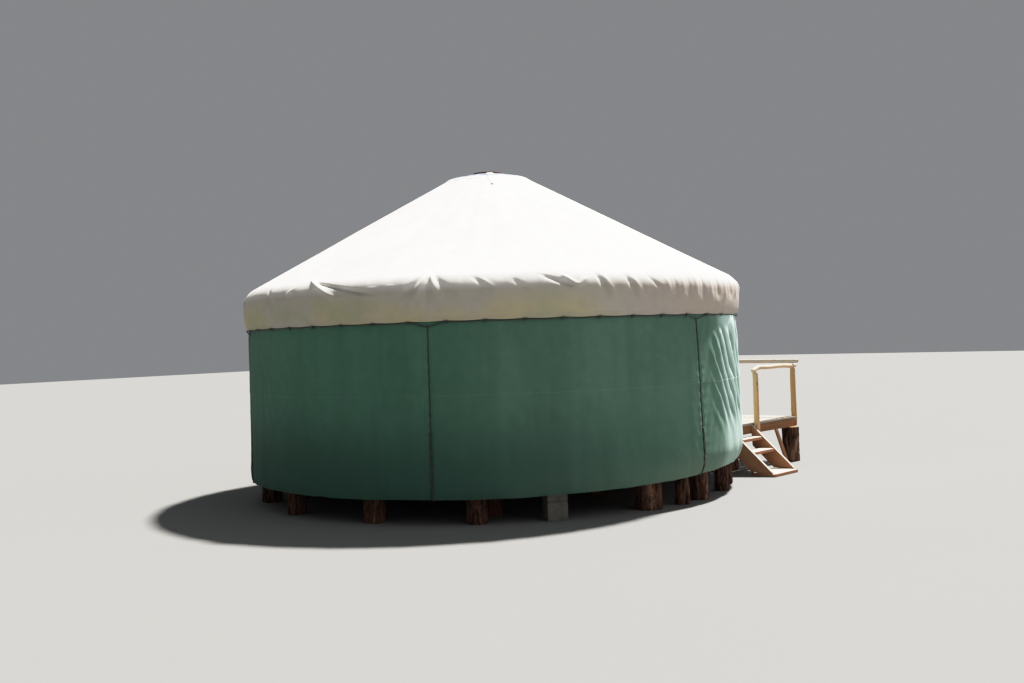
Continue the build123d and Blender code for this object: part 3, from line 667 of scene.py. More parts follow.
SEAMS = (30.0, 90.0, 150.0, 210.0, 270.0, 330.0)
SUNNY_SIDE = -59.0              # where the wall leans out most
BULGE = (277.2, 8.5, 0.026)     # angle, half width in degrees and depth of the bulge by the sunny seam
WALL_TOP = 2.05                 # heights on the wall's folds are measured down from here
CLOTH_ARC = 3.0                 # radius at which distances round the wall's cloth are measured
POLES = 42
VALANCE_JOINT = 196.5           # one of the six joints in the valance


def door_edge(half, radius):
    """Angle at which the side of a door, half its width off the middle, meets a circle."""
    return degrees(asin(half / radius))


def foot_of(sizes, angle):
    """Height of the hem and of the start of the tuck: both rise by a smooth hill on the sunny side."""
    sunny = bump_at(apart(np.asarray(angle), SUNNY_SIDE), 45.0)
    return sizes.hem_height + sizes.hem_rise * sunny, sizes.tuck_height + sizes.tuck_rise * sunny


def wall_line(sizes, angle, z):
    """Radius of the wall without its folds: upright under the valance, leaning out towards the foot by
    the flare, more on the sunny side, with one broad bulge beside the sunny seam."""
    down = WALL_TOP - z
    lean = sizes.wall_flare + sizes.flare_swing * np.cos(np.radians(angle - SUNNY_SIDE))
    centre, width, depth = BULGE
    bulge = depth * bump_at(apart(angle, centre), width) * ease((2.0 - z) / 0.4)
    return sizes.wall_radius + 0.008 * ease(down / 0.12) + 2.0 * lean * ease(down / 2.9) + bulge


def tuck_in(sizes, angle, z, r, gather=0.0):
    """Radius of the wall once its foot turns in: from the start of the tuck it nears the hem's
    radius with the 2.2nd power of the share of the way down, and a puckered hem keeps its gathers."""
    hem, tuck = foot_of(sizes, angle)
    turn = np.clip((tuck - z) / (tuck - hem), 0, 1) ** 2.2
    return r - (r - sizes.hem_radius + sizes.tuck_in * (hem - sizes.hem_height) - gather) * turn


def wall_folds(s, run, z, seed, drag, fan, deep):
    """Folds of the wall in metres, from the distance s along a cloth of length run, and a mask from 0 to 1
    for painted highlights: on the sunny sheet it is high on the folds' crests and the gather, with a
    paler painted sunlit cast elsewhere. Slow waves and tighter bands run down the cloth. On the sunny
    sheet sharp folds drag aslant from its top, beside one short gather. Waves fan out from the top
    and the foot of both seams, and short puckers cross the lacing."""
    down = WALL_TOP - z
    slow = 0.011 * ripple(s * 0.8 + seed, z * 0.35, seed) + 0.008 * ripple(s * 2.6, z * 0.6, seed + 1)
    slow = slow + 0.0016 * ripple(s * 7, z * 2.2, seed + 2)
    bands = ripple(s * 5.2 + 0.35 * ripple(s, z * 1.2, seed + 11), z * 0.45, seed + 10)
    slow = slow + deep * np.tanh(2.2 * bands) * ease(0.60 + 0.9 * ripple(s * 0.9, z * 0.8, seed + 12))
    slow = slow * ease((s + 0.05) / 0.5) * ease((run - s + 0.05) / 0.5)
    slant = s - 0.65 * down + 0.05 * ripple(s * 2.5, z * 2.0, seed + 9)
    sharp = 1 - (np.sin(pi * slant / 0.215) ** 2 + 0.012) ** 0.42
    window = ease((s - 0.16) / 0.30) * ease((2.5 - s) / 0.8) * ease((down - 0.08) / 0.2)
    window = window * ease((1.42 - down) / 0.5)
    sunny = ease((drag - 0.006) / 0.008)
    gather = bump_at(s - 0.94, 0.17) * bump_at(down - 0.10, 0.20)
    total = slow + drag * window * (2 * sharp - 0.8) + 0.024 * sunny * gather
    # Painted highlight mask: the folds' crests and the gather, and outside the folds' window a paler painted
    # sunlit cast.
    painted_crest_light = np.clip(sharp * 1.5 * window + 0.6 * (1 - window) + 0.4 * gather, 0, 1)
    for d in (s, run - s):
        held = fan * ease(d / 0.05)
        top = held * np.exp(-d / 0.42) * np.exp(-np.maximum(down, 0) / 0.9)
        top = top * wave(d + 0.42 * down + 0.05 * ripple(s * 3, z * 3, seed + 6), 0.15)
        foot = held * np.exp(-d / 0.30) * np.exp(-np.maximum(z - 0.40, 0) / 0.38)
        foot = foot * wave(d - 0.55 * (z - 0.4) + 0.04 * ripple(s * 4, z * 4, seed + 7), 0.13)
        pucker = np.exp(-d / 0.05) * wave(z / 0.105 + 0.3 * ripple(z * 3, 0.5, seed + 8))
        edge = 0.003 * bump_at(d - 0.028, 0.016) - 0.011 * bump_at(d, 0.011)
        total = total + 0.0075 * top + 0.008 * foot + 0.0035 * pucker + edge
    return total, sunny * ease((s - 0.15) / 0.55) * painted_crest_light


def wall_grid(sizes, start, end, seed, columns, laced, drag, fan, deep):
    """Wall canvas between two angles: the wall's line with folds and a lap on it, kept outside the
    lattice, and turned in under the floor down to a puckered hem. Its tone is the mask for painted
    highlights on the folds' crests. The second result is the wall's line alone. An edge at the door
    isn't laced: the folds run on past it."""
    angle = np.linspace(start, end, columns)[None, :]
    rise = np.concatenate([np.linspace(0, 0.20, 26)[:-1], np.linspace(0.20, 2.135, 76)])[:, None]
    hem = foot_of(sizes, angle)[0]
    z = hem + rise * (1 - (hem - sizes.hem_height) / rise.max())
    s, run = np.radians(angle - start) * CLOTH_ARC, radians(end - start) * CLOTH_ARC
    before, after = (0.0 if one else 0.6 for one in laced)
    base = wall_line(sizes, angle, z)
    folds, painted_crest_light = wall_folds(s + before, run + before + after, z, seed, drag, fan, deep)
    world = np.radians(angle) * CLOTH_ARC
    gather = 0.009 * ripple(world * 5.5, 0.5 + z * 0.8, seed + 3)
    gather = (gather + 0.006 * ripple(world * 13, 2.5 + z, seed + 4)) * ease((0.72 - z) / 0.42)
    over = z - sizes.lap_height
    lap = 0.0028 * ease(over / 0.003) * bump_at(np.maximum(over, 0), 0.10) + 0.002 * bump_at(over, 0.010)
    off = base + folds * ease((2.20 - z) / 0.2) + gather * 0.6 + lap - sizes.lattice_radius
    r = sizes.lattice_radius + (off + np.sqrt(off ** 2 + 0.003 ** 2)) / 2
    drop = 0.010 * ripple(world * 1.3, 0.5, 41) + 0.005 * ripple(world * 6, 0.5, 42)
    points = spot(tuck_in(sizes, angle, z, r, gather * 0.9), angle, z + drop * ease((0.62 - z) / 0.3))
    edge = np.minimum(s if laced[0] else 9.0, run - s if laced[1] else 9.0)
    return grid(points, (s + seed, z), painted_crest_light, np.minimum(edge, 0.3)), spot(base, angle, z)


def cone_height(sizes, radius):
    """Height of the roof's straight cone at a radius."""
    return 2.700 + (2.597 - radius) / sizes.roof_run


def roof_profile(sizes):
    """Radius and height of the roof canvas from its lower edge up: an upright valance, an arc at the
    eave and a straight cone up to the crown, with the outward normal of each point."""
    turn = pi / 2 - atan2(1, sizes.roof_run)
    bend, rim, crown, drawn = sizes.eave_rounding, sizes.valance_radius, 0.482, 2.26
    middle_r, middle_z = rim - bend, cone_height(sizes, rim) - bend * tan(turn / 2)
    arc = np.linspace(0, turn, 18)[1:]
    start, inner = middle_r + bend * cos(turn), middle_r + bend * cos(turn) - 0.36
    cone = np.concatenate([np.linspace(start, inner, 15)[1:], np.linspace(inner, crown, 46)[1:]])
    upright = np.linspace(sizes.valance_bottom, middle_z, 22)
    r = np.concatenate([np.full(22, rim), middle_r + bend * np.cos(arc), cone])
    z = np.concatenate([upright, middle_z + bend * np.sin(arc), cone_height(sizes, cone)])
    lean = np.concatenate([np.zeros(22), arc, np.full(len(cone), turn)])
    r = r - sizes.valance_tuck * np.clip((drawn - z) / (drawn - sizes.valance_bottom), 0, 1) ** 1.8
    return r[:, None], z[:, None], np.cos(lean)[:, None], np.sin(lean)[:, None]


# Creases at the eave: angle and height at the top and the foot, half width in degrees, and depth.
CREASES = np.array([
    (182.5, 2.53, 190.5, 2.33, 1, 0.024), (185.8, 2.49, 197, 2.36, 1.3, -0.026),
    (178, 2.46, 175, 2.3, 0.9, 0.008), (210.4, 2.56, 205.8, 2.32, 0.75, -0.01),
    (210.4, 2.56, 208.2, 2.3, 0.6, 0.013), (210.5, 2.58, 210.2, 2.25, 0.55, -0.012),
    (210.6, 2.56, 212.4, 2.3, 0.6, 0.013), (210.6, 2.56, 214.8, 2.32, 0.75, -0.01),
    (219.5, 2.47, 222.5, 2.34, 0.7, -0.009), (221, 2.45, 223.5, 2.33, 0.6, 0.008),
    (227, 2.44, 229, 2.34, 0.8, -0.008), (233, 2.47, 238.6, 2.35, 1.1, -0.017),
    (236.5, 2.47, 238.9, 2.36, 0.7, 0.015), (241, 2.44, 239, 2.36, 0.7, 0.01),
    (243.6, 2.47, 245.4, 2.27, 0.55, -0.014), (244.9, 2.46, 246.4, 2.28, 0.55, 0.008),
    (250.2, 2.44, 251.6, 2.27, 0.55, -0.014), (251.6, 2.43, 252.8, 2.28, 0.55, 0.008),
    (255.6, 2.44, 258.2, 2.32, 0.6, -0.0079), (260, 2.43, 260.4, 2.26, 0.6, 0.0065),
    (262.3, 2.42, 262.4, 2.24, 0.55, -0.0072), (264.6, 2.43, 264.4, 2.23, 0.55, 0.0072),
    (266.7, 2.43, 266.4, 2.25, 0.55, -0.0072), (269, 2.48, 268.8, 2.21, 0.7, 0.0086),
    (271.4, 2.46, 271.6, 2.23, 0.65, -0.0094), (274.5, 2.44, 274.9, 2.24, 0.75, 0.0079),
    (278.2, 2.44, 278.4, 2.25, 0.75, -0.0094), (282, 2.44, 282, 2.25, 0.85, 0.0086),
    (286, 2.44, 286.4, 2.25, 0.85, -0.0086), (290.5, 2.44, 290.3, 2.27, 0.95, 0.0086),
    (205, 2.43, 197, 2.4, 0.8, 0.006), (168, 2.47, 171, 2.3, 0.9, -0.009), (161, 2.46, 160, 2.24, 1, 0.008)])
DEEPER = 1.45                   # how much deeper than that they are pressed


def creases():
    """The eave's creases: the seen ones, and 60 others set at random round the far side."""
    rng = np.random.default_rng(12)
    top = np.concatenate([rng.uniform(-64, 150, 40), np.repeat([-30.0, 30.0, 90.0, 150.0], 5)])
    foot = top + rng.uniform(-3.5, 3.5, 60)
    sign = np.where(np.arange(60) % 2 == 0, 1.0, -1.0)
    far = np.stack([top, rng.uniform(2.43, 2.55, 60), foot, rng.uniform(2.20, 2.36, 60),
                    rng.uniform(0.5, 1.1, 60), sign * rng.uniform(0.006, 0.015, 60)], axis=1)
    return np.concatenate([CREASES * [1, 1, 1, 1, 1, DEEPER], far])


def roof_height_of(angle, r, z):
    """How far the roof canvas stands off its profile: it sags between the poles, waves slowly, is
    gathered in by the drawstring and creased at the eave."""
    on_cone = ease((3.02 - r) / 0.10)
    between = np.sin(pi * (angle * POLES / 360.0 - 0.5)) ** 2
    total = -0.007 * between * ease((3.0 - r) / 0.5) * ease((r - 0.5) / 0.8)
    total = total + 0.004 * ripple(angle * 0.10, r * 1.3, 60, 36) * on_cone
    total = total + 0.0035 * ripple(angle * 0.30, z * 2.5, 61, 108) * (1 - on_cone)
    total = total + 0.0018 * ripple(angle * 0.9, z * 6.0, 62, 324) * bump_at(z - 2.30, 0.22)
    top_a, top_z, foot_a, foot_z, width, depth = (c[:, None, None] for c in creases().T)
    share = (top_z - z) / (top_z - foot_z)
    centre = top_a + (foot_a - top_a) * np.clip(share, -0.3, 1.3)
    window = ease((share + 0.25) / 0.4) * ease((1.35 - share) / 0.6)
    spread = width * (0.55 + 0.75 * np.clip(share, 0, 1.3))
    return total + (depth * window * bump_at(apart(angle, centre), spread)).sum(0)


def roof_grid(sizes, start, end, columns, lowest=0.0):
    """Roof canvas between two angles, above a height: the profile turned about the axis, set off along
    its normal, and puckered at its lower edge between the drawstring's loops. The second result is
    the turned profile alone."""
    r, z, out, up = (part[roof_profile(sizes)[1][:, 0] > lowest] for part in roof_profile(sizes))
    angle = np.linspace(start, end, columns)[None, :]
    pull = bump_at(np.maximum(z - sizes.valance_bottom, 0), 0.035)
    nearest = -np.cos(2 * pi * angle * sizes.loops / 360.0)
    off = roof_height_of(angle, r + 0 * angle, z + 0 * angle) - pull * (0.006 + 0.004 * nearest)
    points = spot(r + off * out, angle, z + off * up + pull * 0.003 * nearest)
    across = np.radians(angle - start) * sizes.valance_radius + start
    along = run_of(np.concatenate([r, z], axis=1))[:, None]
    joint = np.abs(apart(angle, VALANCE_JOINT, 60.0)) * radians(sizes.valance_radius) + 0.028
    edge = np.minimum(along + 0.012, joint + 0.5 * ease((z - 2.38) / 0.03))
    return grid(points, (across, along), 0.5, np.minimum(edge, 0.3)), spot(r, angle, z)


class YURT_OT_wall_canvas(bpy.types.Operator):
    """Hang the green canvas of the wall, one sheet between each two seams"""
    bl_idname = "yurt.wall_canvas"
    bl_label = "Wall canvas"

    def execute(self, context):
        sizes = context.scene.yurt_sizes
        door, mean_radius = door_edge(0.4385, 2.985), 3.02
        cuts = [(str(k + 1), str(k + 1), SEAMS[k], SEAMS[k] + 60.0, (True, True)) for k in range(5)]
        cuts += [("right", "door_right", door, 30.0, (False, True)),
                 ("left", "door_left", -30.0, -door, (True, False))]
        for k, (name, node, start, end, laced) in enumerate(cuts):
            sunny = k == 4
            columns = 180 if sunny else 112 if k < 4 else 46
            cloth, flat = wall_grid(sizes, start, end, 20 + k, columns, laced, drag=0.016 if sunny else 0.003,
                                    fan=0.35 if k in (2, 3) else 1.0, deep=0.018 if k == 3 else 0.0085)
            made = piece("wall_canvas_" + name, [cloth], ["wall canvas"],
                         ["wall_panel_" + node], 0.004, closed=False)
        return {"FINISHED"}


class YURT_OT_roof_canvas(bpy.types.Operator):
    """Lay the cream canvas of the roof over the poles, with its valance"""
    bl_idname = "yurt.roof_canvas"
    bl_label = "Roof canvas"

    def execute(self, context):
        sizes = context.scene.yurt_sizes
        cut = door_edge(0.4477, sizes.valance_radius)
        sheets = [(str(k + 1), [(SEAMS[k], SEAMS[k] + 60.0, 92 if k < 2 else 156)]) for k in range(5)]
        sheets.append(("front", [(-30.0, -cut, 48), (cut, 30.0, 48), (-cut, cut, 38, 2.386)]))
        for label, spans in sheets:
            parts = [roof_grid(sizes, *span) for span in spans]
            made = piece("roof_canvas_" + label, [p[0] for p in parts], ["roof canvas"],
                         ["roof_panel_" + label], 0.003, closed=False, crease=60.0)
        return {"FINISHED"}


# Crown

def lathe(profile, columns=96, waves=None, uv_scale=0.4):
    """A profile of radius and height pairs, from the foot up on its outside, turned about the axis."""
    profile = np.asarray(profile, float)
    angle = np.linspace(0, 360, columns + 1)[None, :]
    r, z = profile[:, :1] + 0 * angle, profile[:, 1:] + 0 * angle
    if waves is not None:
        r, z = waves(r, angle, z)
    return grid(spot(r, angle, z), (np.radians(angle) * uv_scale, run_of(profile)[:, None]))


def even_steps(points, count):
    """A line through the points, resampled at even steps along its length."""
    points = np.asarray(points, float)
    run = run_of(points)
    at = np.linspace(0, run[-1], count)
    return np.stack([np.interp(at, run, points[:, k]) for k in range(points.shape[1])], axis=1)


def cap_gathers(r, angle, z):
    """Radial folds that grow from the collar to the edge, and a scalloped hem."""
    share = ease((r - 0.20) / 0.34)
    folds = ripple(angle * 0.14, 0.5, 71, 50) + 0.6 * ripple(angle * 0.31, 0.5, 72, 112)
    return r + 0.005 * share * folds, z + 0.006 * share * np.abs(folds) * ease((0.56 - r) / 0.07)


class YURT_OT_crown(bpy.types.Operator):
    """Cap the crown: a gathered canvas cap, a hoop with its pane, and the cap's tie"""
    bl_idname = "yurt.crown"
    bl_label = "Crown"

    def execute(self, context):
        sizes = context.scene.yurt_sizes
        line = self.cap(sizes)
        self.hoop()
        self.tie(sizes, line)
        for name in ("crown_ring", "crown_ribs"):
            refinish(name, "hoop timber")
        return {"FINISHED"}

    def cap(self, sizes):
        """A lathed cap whose profile rises from the cone to the collar, a clear sheet painted blue-grey as
        shade lit by the sky from its eighth ring up, and a narrowing flap on the side of the tie."""
        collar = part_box("crown_cap")[1].z
        rim = 0.552
        cone = cone_height(sizes, rim)
        line = [(rim, cone + 0.0010), (0.546, cone + 0.0055), (0.50, cone + 0.032), (0.44, collar - 0.051),
                (0.39, collar - 0.048), (0.350, collar - 0.044), (0.332, collar - 0.034),
                (0.312, collar - 0.025), (0.275, collar - 0.016), (0.24, collar - 0.009), (0.194, collar)]
        profile = even_steps(line, 44)
        whole = lathe(profile, 168, cap_gathers)
        cloth, film = ({key: finish if key == "finish" else value[rows] for key, value in whole.items()}
                       for rows, finish in ((slice(0, 8), 0), (slice(7, None), 1)))
        wide, r, z = np.linspace(-1, 1, 9)[None, :], profile[14:, :1], profile[14:, 1:]
        lift = 0.007 + 0.004 * ripple(wide * 2, r * 9, 73)
        half = 11.5 - 6.0 * ease((0.42 - r) / 0.2)
        flap = grid(spot(r + 0.004, 228.0 + wide * half, z + lift), (wide * 0.06, r))
        made = piece("crown_cap_canvas", [cloth, film, flap], ["roof canvas", "film"],
                     ["crown_cap"], 0.003, closed=False, crease=60.0)
        return line

    def hoop(self):
        """A rounded square section turned about the axis, and a pane that domes up inside it."""
        low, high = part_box("crown_top_ring")
        r, lip, top = 0.188, 0.150, high.z - 0.009
        hoop = [(lip, low.z), (r - 0.004, low.z), (r, low.z + 0.004), (r, high.z - 0.010),
                (r - 0.003, high.z - 0.003), (r - 0.010, high.z), (lip + 0.008, high.z),
                (lip, high.z - 0.006), (lip, low.z)]
        # The hoop's dark finish is painted shade.
        piece("crown_hoop", [lathe(hoop, 96, uv_scale=r)], ["dark hoop"], ["crown_top_ring"])
        dome = [(0.0, top - 0.004), (0.149, top - 0.004), (0.149, top), (0.12, top + 0.0030),
                (0.08, top + 0.0055), (0.04, top + 0.007), (0.0, top + 0.0075)]
        piece("crown_dome", [lathe(dome, 64)], ["pane"], ["crown_pane"], crease=50.0)

    def tie(self, sizes, line):
        """A thin cord that lies on the cone and the cap, and a small ring round its eye in the cone."""
        angle, eye, ring, pitch = 226.5, 0.762, 0.012, 0.49
        r = np.linspace(0.752, 0.20, 40)
        on_cap = np.interp(r, *zip(*line[::-1])) + 0.010
        height = np.where(r > 0.56, cone_height(sizes, r) + 0.006, on_cap)
        height = np.convolve(np.pad(height, 2, mode="edge"), np.ones(5) / 5, "valid")
        tie = spot(r, angle - 4 * np.sin(r * 4), height)
        turn = np.linspace(0, 2 * pi, 33)
        away = ring * np.cos(turn)
        loop = spot(eye + away * cos(pitch), angle + np.degrees(ring * np.sin(turn) / eye),
                    cone_height(sizes, eye) + 0.004 - away * sin(pitch))
        piece("crown_tie", [tube(tie, 0.0030, UP, 8)], ["pale cord"])
        piece("crown_eye", [tube(loop, 0.0065, UP, 8)], ["cord"])


# Cords

class YURT_OT_cords(bpy.types.Operator):
    """Thread the drawstring through the valance's loops and lace the wall's seams"""
    bl_idname = "yurt.cords"
    bl_label = "Cords"

    def execute(self, context):
        sizes = context.scene.yurt_sizes
        self.drawstring(sizes)
        self.lacings(sizes)
        return {"FINISHED"}

    def drawstring(self, sizes):
        """A cord that hangs a little between its loops, dips to the top of each wall seam, and is
        held by a short cloth loop at each stitch."""
        step = 360.0 / sizes.loops
        first = door_edge(0.445, sizes.valance_radius)
        angle = np.linspace(first, 360 - first, 1100)
        sag = np.sin(pi * ((angle + step / 2) % step) / step) ** 2
        seam = np.abs(apart(angle, SEAMS[0], 60.0))
        dip = 0.046 * np.clip(1 - seam / (step * 0.5), 0, 1) ** 1.05
        level = sizes.valance_bottom - 0.008 - 0.005 * sag - dip + 0.0015 * ripple(angle, 0.5, 90)
        tucked = sizes.valance_radius - sizes.valance_tuck - 0.009
        r = tucked - 0.004 * sag - 0.008 * bump_at(seam, 2.0)
        cord = tube(spot(r, angle, level), sizes.cord_radius, UP, 8)
        piece("drawstring_cord", [cord], ["cord"], ["drawstring"])
        turn, wide = np.linspace(-0.7, pi + 0.7, 15)[:, None], np.linspace(-0.36, 0.36, 3)[None, :]
        section = tucked + 0.0150 * np.cos(turn), sizes.valance_bottom - 0.007 - 0.0170 * np.sin(turn)
        middles = [(k + 0.5) * step for k in range(sizes.loops)]
        loops = [grid(spot(section[0], a + wide, section[1]), (wide * 0.01, turn * 0.02))
                 for a in middles if min(a, 360 - a) >= first + 1.5]
        made = piece("drawstring_loops", loops, ["cord"], thickness=0.002, closed=False)

    def lacings(self, sizes):
        """A cord down each seam that swings from side to side over the laced edges, and near its foot
        a second and third strand wound round it down to the hem, knotted at both ends."""
        strands = []
        for k, (seam, loose) in enumerate(zip(SEAMS, (0.47, 0.62, 0.55, 0.66, 0.50, 0.58))):
            hem = float(foot_of(sizes, seam)[0])
            z = np.linspace(2.012, hem - 0.006, 200)
            r = tuck_in(sizes, seam, z, wall_line(sizes, seam, z)) - 0.003
            sway = 0.06 * wave(z, 0.13) + 0.05 * ripple(z * 4, 0.5, 95 + k)
            side = spot(1.0, seam, 0.0)
            strands.append(tube(spot(r, seam + sway * 0.55, z), sizes.lacing_radius, side, 8, start=k))
            low = z < hem + loose
            for strand in (0, 1):
                wind = 2 * pi * z[low] / (0.15 + 0.03 * strand) + pi * strand + k
                path = spot(r[low] + 0.003 + 0.0055 * np.abs(np.cos(wind)),
                            seam + np.degrees(0.0100 * np.sin(wind) / CLOTH_ARC), z[low])
                strands.append(tube(path, sizes.lacing_radius * 0.9, side, 8, start=k + strand))
            turn = np.linspace(0, 2 * pi, 25)
            swing = seam + np.degrees(0.012 * np.sin(turn) / CLOTH_ARC)
            for level in (hem + loose, hem + 0.19):
                out = np.interp(level, z[::-1], r[::-1]) + 0.006 + 0.007 * np.cos(turn)
                knot = spot(out, swing, level + 0.006 * np.sin(2 * turn))
                strands.append(tube(knot, sizes.lacing_radius, UP, 8, start=k))
        piece("wall_lacing_cords", strands, ["cord"], ["wall_lacings"])


# Timber

# Angle and radius of each stump under the rim.
RIM_STUMPS = ((-102.0, 0.145), (-92.5, 0.078), (-84.5, 0.115), (-70.0, 0.080), (-58.0, 0.078),
              (-142.0, 0.105), (-165.0, 0.115), (170.0, 0.100), (146.0, 0.120), (121.0, 0.100),
              (97.0, 0.115), (72.0, 0.100), (48.0, 0.110), (24.0, 0.100), (-24.0, 0.105))
NEAR_STUMPS = 3.0 + 0.0688 + 0.12       # radius on which the deck's inner stumps stand
DECK_CLEAR = 3.012                      # radius that the deck's boards and frame end at


class YURT_OT_stumps(bpy.types.Operator):
    """Stand the bark stumps under the floor and the deck, and the block pier"""
    bl_idname = "yurt.stumps"
    bl_label = "Stumps and pier"

    def execute(self, context):
        top, deck_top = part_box("centre_stump")[1].z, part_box("deck_stumps")[1].z
        edge, front, corner, out, thick = 2.895, -3.950, 1.970, 1.732, 0.120
        near = -sqrt(NEAR_STUMPS ** 2 - out ** 2)
        rim = [(*spot(edge - radius, angle, 0.0)[:2], radius) for angle, radius in RIM_STUMPS]
        inner = [(x, y, thick) for x in (-1.5, 1.5) for y in (-1.75, 0, 1.75)]
        deck = [(x, front, thick) for x in (-corner, 0, corner)] + [(x, near, thick) for x in (-out, out)]
        for name, node, places, height, seed, step, fineness in (
                ("rim_stump_logs", "rim_stumps", rim, top, 3, 11, (60, 24)),
                ("inner_stump_logs", "inner_stumps", inner, top, 200, 7, (48, 18)),
                ("centre_stump_log", "centre_stump", [(0, 0, 0.150)], top, 301, 0, (48, 18)),
                ("deck_stump_logs", "deck_stumps", deck, deck_top, 401, 13, (60, 24))):
            logs = [bark_log(x, y, radius, 0.0, height, seed + step * k, *fineness)
                    for k, (x, y, radius) in enumerate(places)]
            piece(name, sum(logs, []), ["bark", "sawn end"], [node])
        self.pier(top)
        return {"FINISHED"}

    def pier(self, top):
        """Two cast blocks on each other: rounded, slightly warped boxes with a pitted face."""
        size, rim, setback = 0.215, 2.91, 0.030
        out = spot(1.0, -125.5, 0.0)
        foot = out * (rim - setback - size / 2)
        blocks = [plank(foot + [0, 0, low], foot + [0, 0, high], out, size, size, 500 + k, rows=26,
                        round_off=0.010, warp=0.003)
                  for k, (low, high) in enumerate(((0.0, 0.1935), (0.1965, top)))]
        piece("pier_blocks", blocks, ["concrete"], ["block_pier"])


class YURT_OT_deck(bpy.types.Operator):
    """Lay the deck's boards, its fascia and joists, and its brace"""
    bl_idname = "yurt.deck"
    bl_label = "Deck"

    def execute(self, context):
        self.boards(context.scene.yurt_sizes.deck_boards)
        self.joists()
        self.brace()
        return {"FINISHED"}

    def boards(self, count):
        """Boards from the front to the wall, each cut along the wall's circle, with uneven front ends."""
        low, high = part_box("deck_floor")
        gap, middle = 0.006, (low.z + high.z) / 2
        pitch = (high.x - low.x + gap) / count
        boards = []
        for k in range(count):
            x = low.x + (k + 0.5) * pitch - gap / 2
            end = -sqrt(DECK_CLEAR ** 2 - x ** 2)

            def cut(p, q, x=x, end=end):
                """Follow the wall: the circle's height at each distance across the board."""
                return -np.sqrt(DECK_CLEAR ** 2 - np.clip(x - p, -3.0, 3.0) ** 2) - end

            jut = 0.004 * ripple(k * 1.7, 0.5, 66)
            boards.append(plank((x, low.y + abs(jut), middle), (x, end, middle), UP, pitch - gap,
                                high.z - low.z, 600 + k, ends=(None, cut), rows=20, warp=0.0012))
        piece("deck_boards", boards, ["deck board"], ["deck_floor"])

    def joists(self):
        """A fascia, two side boards and three rows of joists, which stop short of the wall."""
        low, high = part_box("deck_frame")
        thick, joist, z, deep = 0.028, 0.045, (low.z + high.z) / 2, high.z - low.z
        half, front = high.x, low.y
        inside = half - thick
        near = -sqrt(DECK_CLEAR ** 2 - inside ** 2)
        y = front + thick / 2
        boards = [plank((-half, y, z), (half, y, z), (0, -1, 0), deep, thick, 700, rows=60)]
        for k, sign in enumerate((-1, 1)):
            x = sign * (half - thick / 2)
            boards.append(plank((x, front + thick, z), (x, near, z), (sign, 0, 0), deep, thick, 701 + k,
                                rows=40))
        first = joist / 2 + sqrt(NEAR_STUMPS ** 2 - (inside - 0.24) ** 2)
        for k in range(3):
            y = -(first + k * (-front - first) / 3) + joist / 2
            back = -y - joist / 2
            if back > DECK_CLEAR:
                rows = [(-inside, inside, 710 + k, 40)]
            else:
                stop = sqrt(DECK_CLEAR ** 2 - back ** 2) + 0.012
                rows = [(-inside, -stop, 713, 20), (stop, inside, 715, 20)]
            boards += [plank((left, y, z), (right, y, z), (0, 1, 0), deep, joist, seed, rows=count)
                       for left, right, seed, count in rows]
        piece("deck_joists", boards, ["plank"], ["deck_frame"])

    def brace(self):
        """A slanting board between the ground and the deck, cut level at both ends."""
        low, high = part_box("deck_brace")
        width, thick, height = 0.060, 0.028, 0.48
        run = high.y - low.y - 0.07
        half = width * sqrt(1 + (run / height) ** 2) / 2
        lean = (high.y - low.y - 2 * half) / (high.z - low.z)
        x = (low.x + high.x) / 2
        board = plank((x, low.y + half, 0), (x, high.y - half, high.z), (-1, 0, 0), width, thick, 730,
                      ends=[lambda p, q: p * lean] * 2, rows=24)
        piece("deck_brace_board", [board], ["stair plank"], ["deck_brace"])


class YURT_OT_rails(bpy.types.Operator):
    """Set up the peeled posts and rails"""
    bl_idname = "yurt.rails"
    bl_label = "Rails"

    def execute(self, context):
        side_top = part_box("side_rails")[0].z + 0.003
        low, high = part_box("front_rail")
        radius, rail, foot, near_top, far_top = 0.039, 0.029, 0.480, 1.334, 1.365
        outer, outer_y, corner, corner_y = 2.0393, -2.897, 1.950, -4.1093
        posts, rails = [], []
        for k, sign in enumerate((-1, 1)):
            x, front_x = sign * outer, sign * corner
            posts.append(peeled_pole((x, outer_y, foot), (x, outer_y, side_top + 0.014), radius, 800 + k,
                                     crook=0.004))
            posts.append(peeled_pole((front_x, corner_y, foot), (front_x, corner_y, side_top + 0.028), radius,
                                     808 + k, crook=0.005, knots=12))
            near, far = np.array([x, outer_y, near_top - rail]), np.array([front_x, corner_y, far_top - rail])
            past = (far - near) / np.linalg.norm(far - near) * 0.085
            rails.append(peeled_pole(near - past, far + past, rail, 820 + k, self.droop, rows=90, crook=0.010,
                                     knots=10))
        for k in (-1, 0, 1):
            x = k * corner / 2
            posts.append(peeled_pole((x, corner_y, foot), (x, corner_y, low.z - 0.001), radius, 812 + k,
                                     crook=0.005))
        piece("deck_post_poles", posts, ["peeled pole"], ["deck_posts"])
        piece("side_rail_poles", rails, ["pale pole"], ["side_rails"])
        level = (low.z + high.z) / 2
        pole = peeled_pole((low.x, corner_y, level), (high.x, corner_y, level), rail, 831, rows=180,
                           crook=0.010, knots=26)
        piece("front_rail_pole", [pole], ["grey pole"], ["front_rail"])
        return {"FINISHED"}

    @staticmethod
    def droop(share):
        """Rise of a side rail along its length: its crooked near end hangs lower."""
        return 0.018 * (1 - share) + 0.044 * ease(share / 0.17) * (1 - share) - 0.008


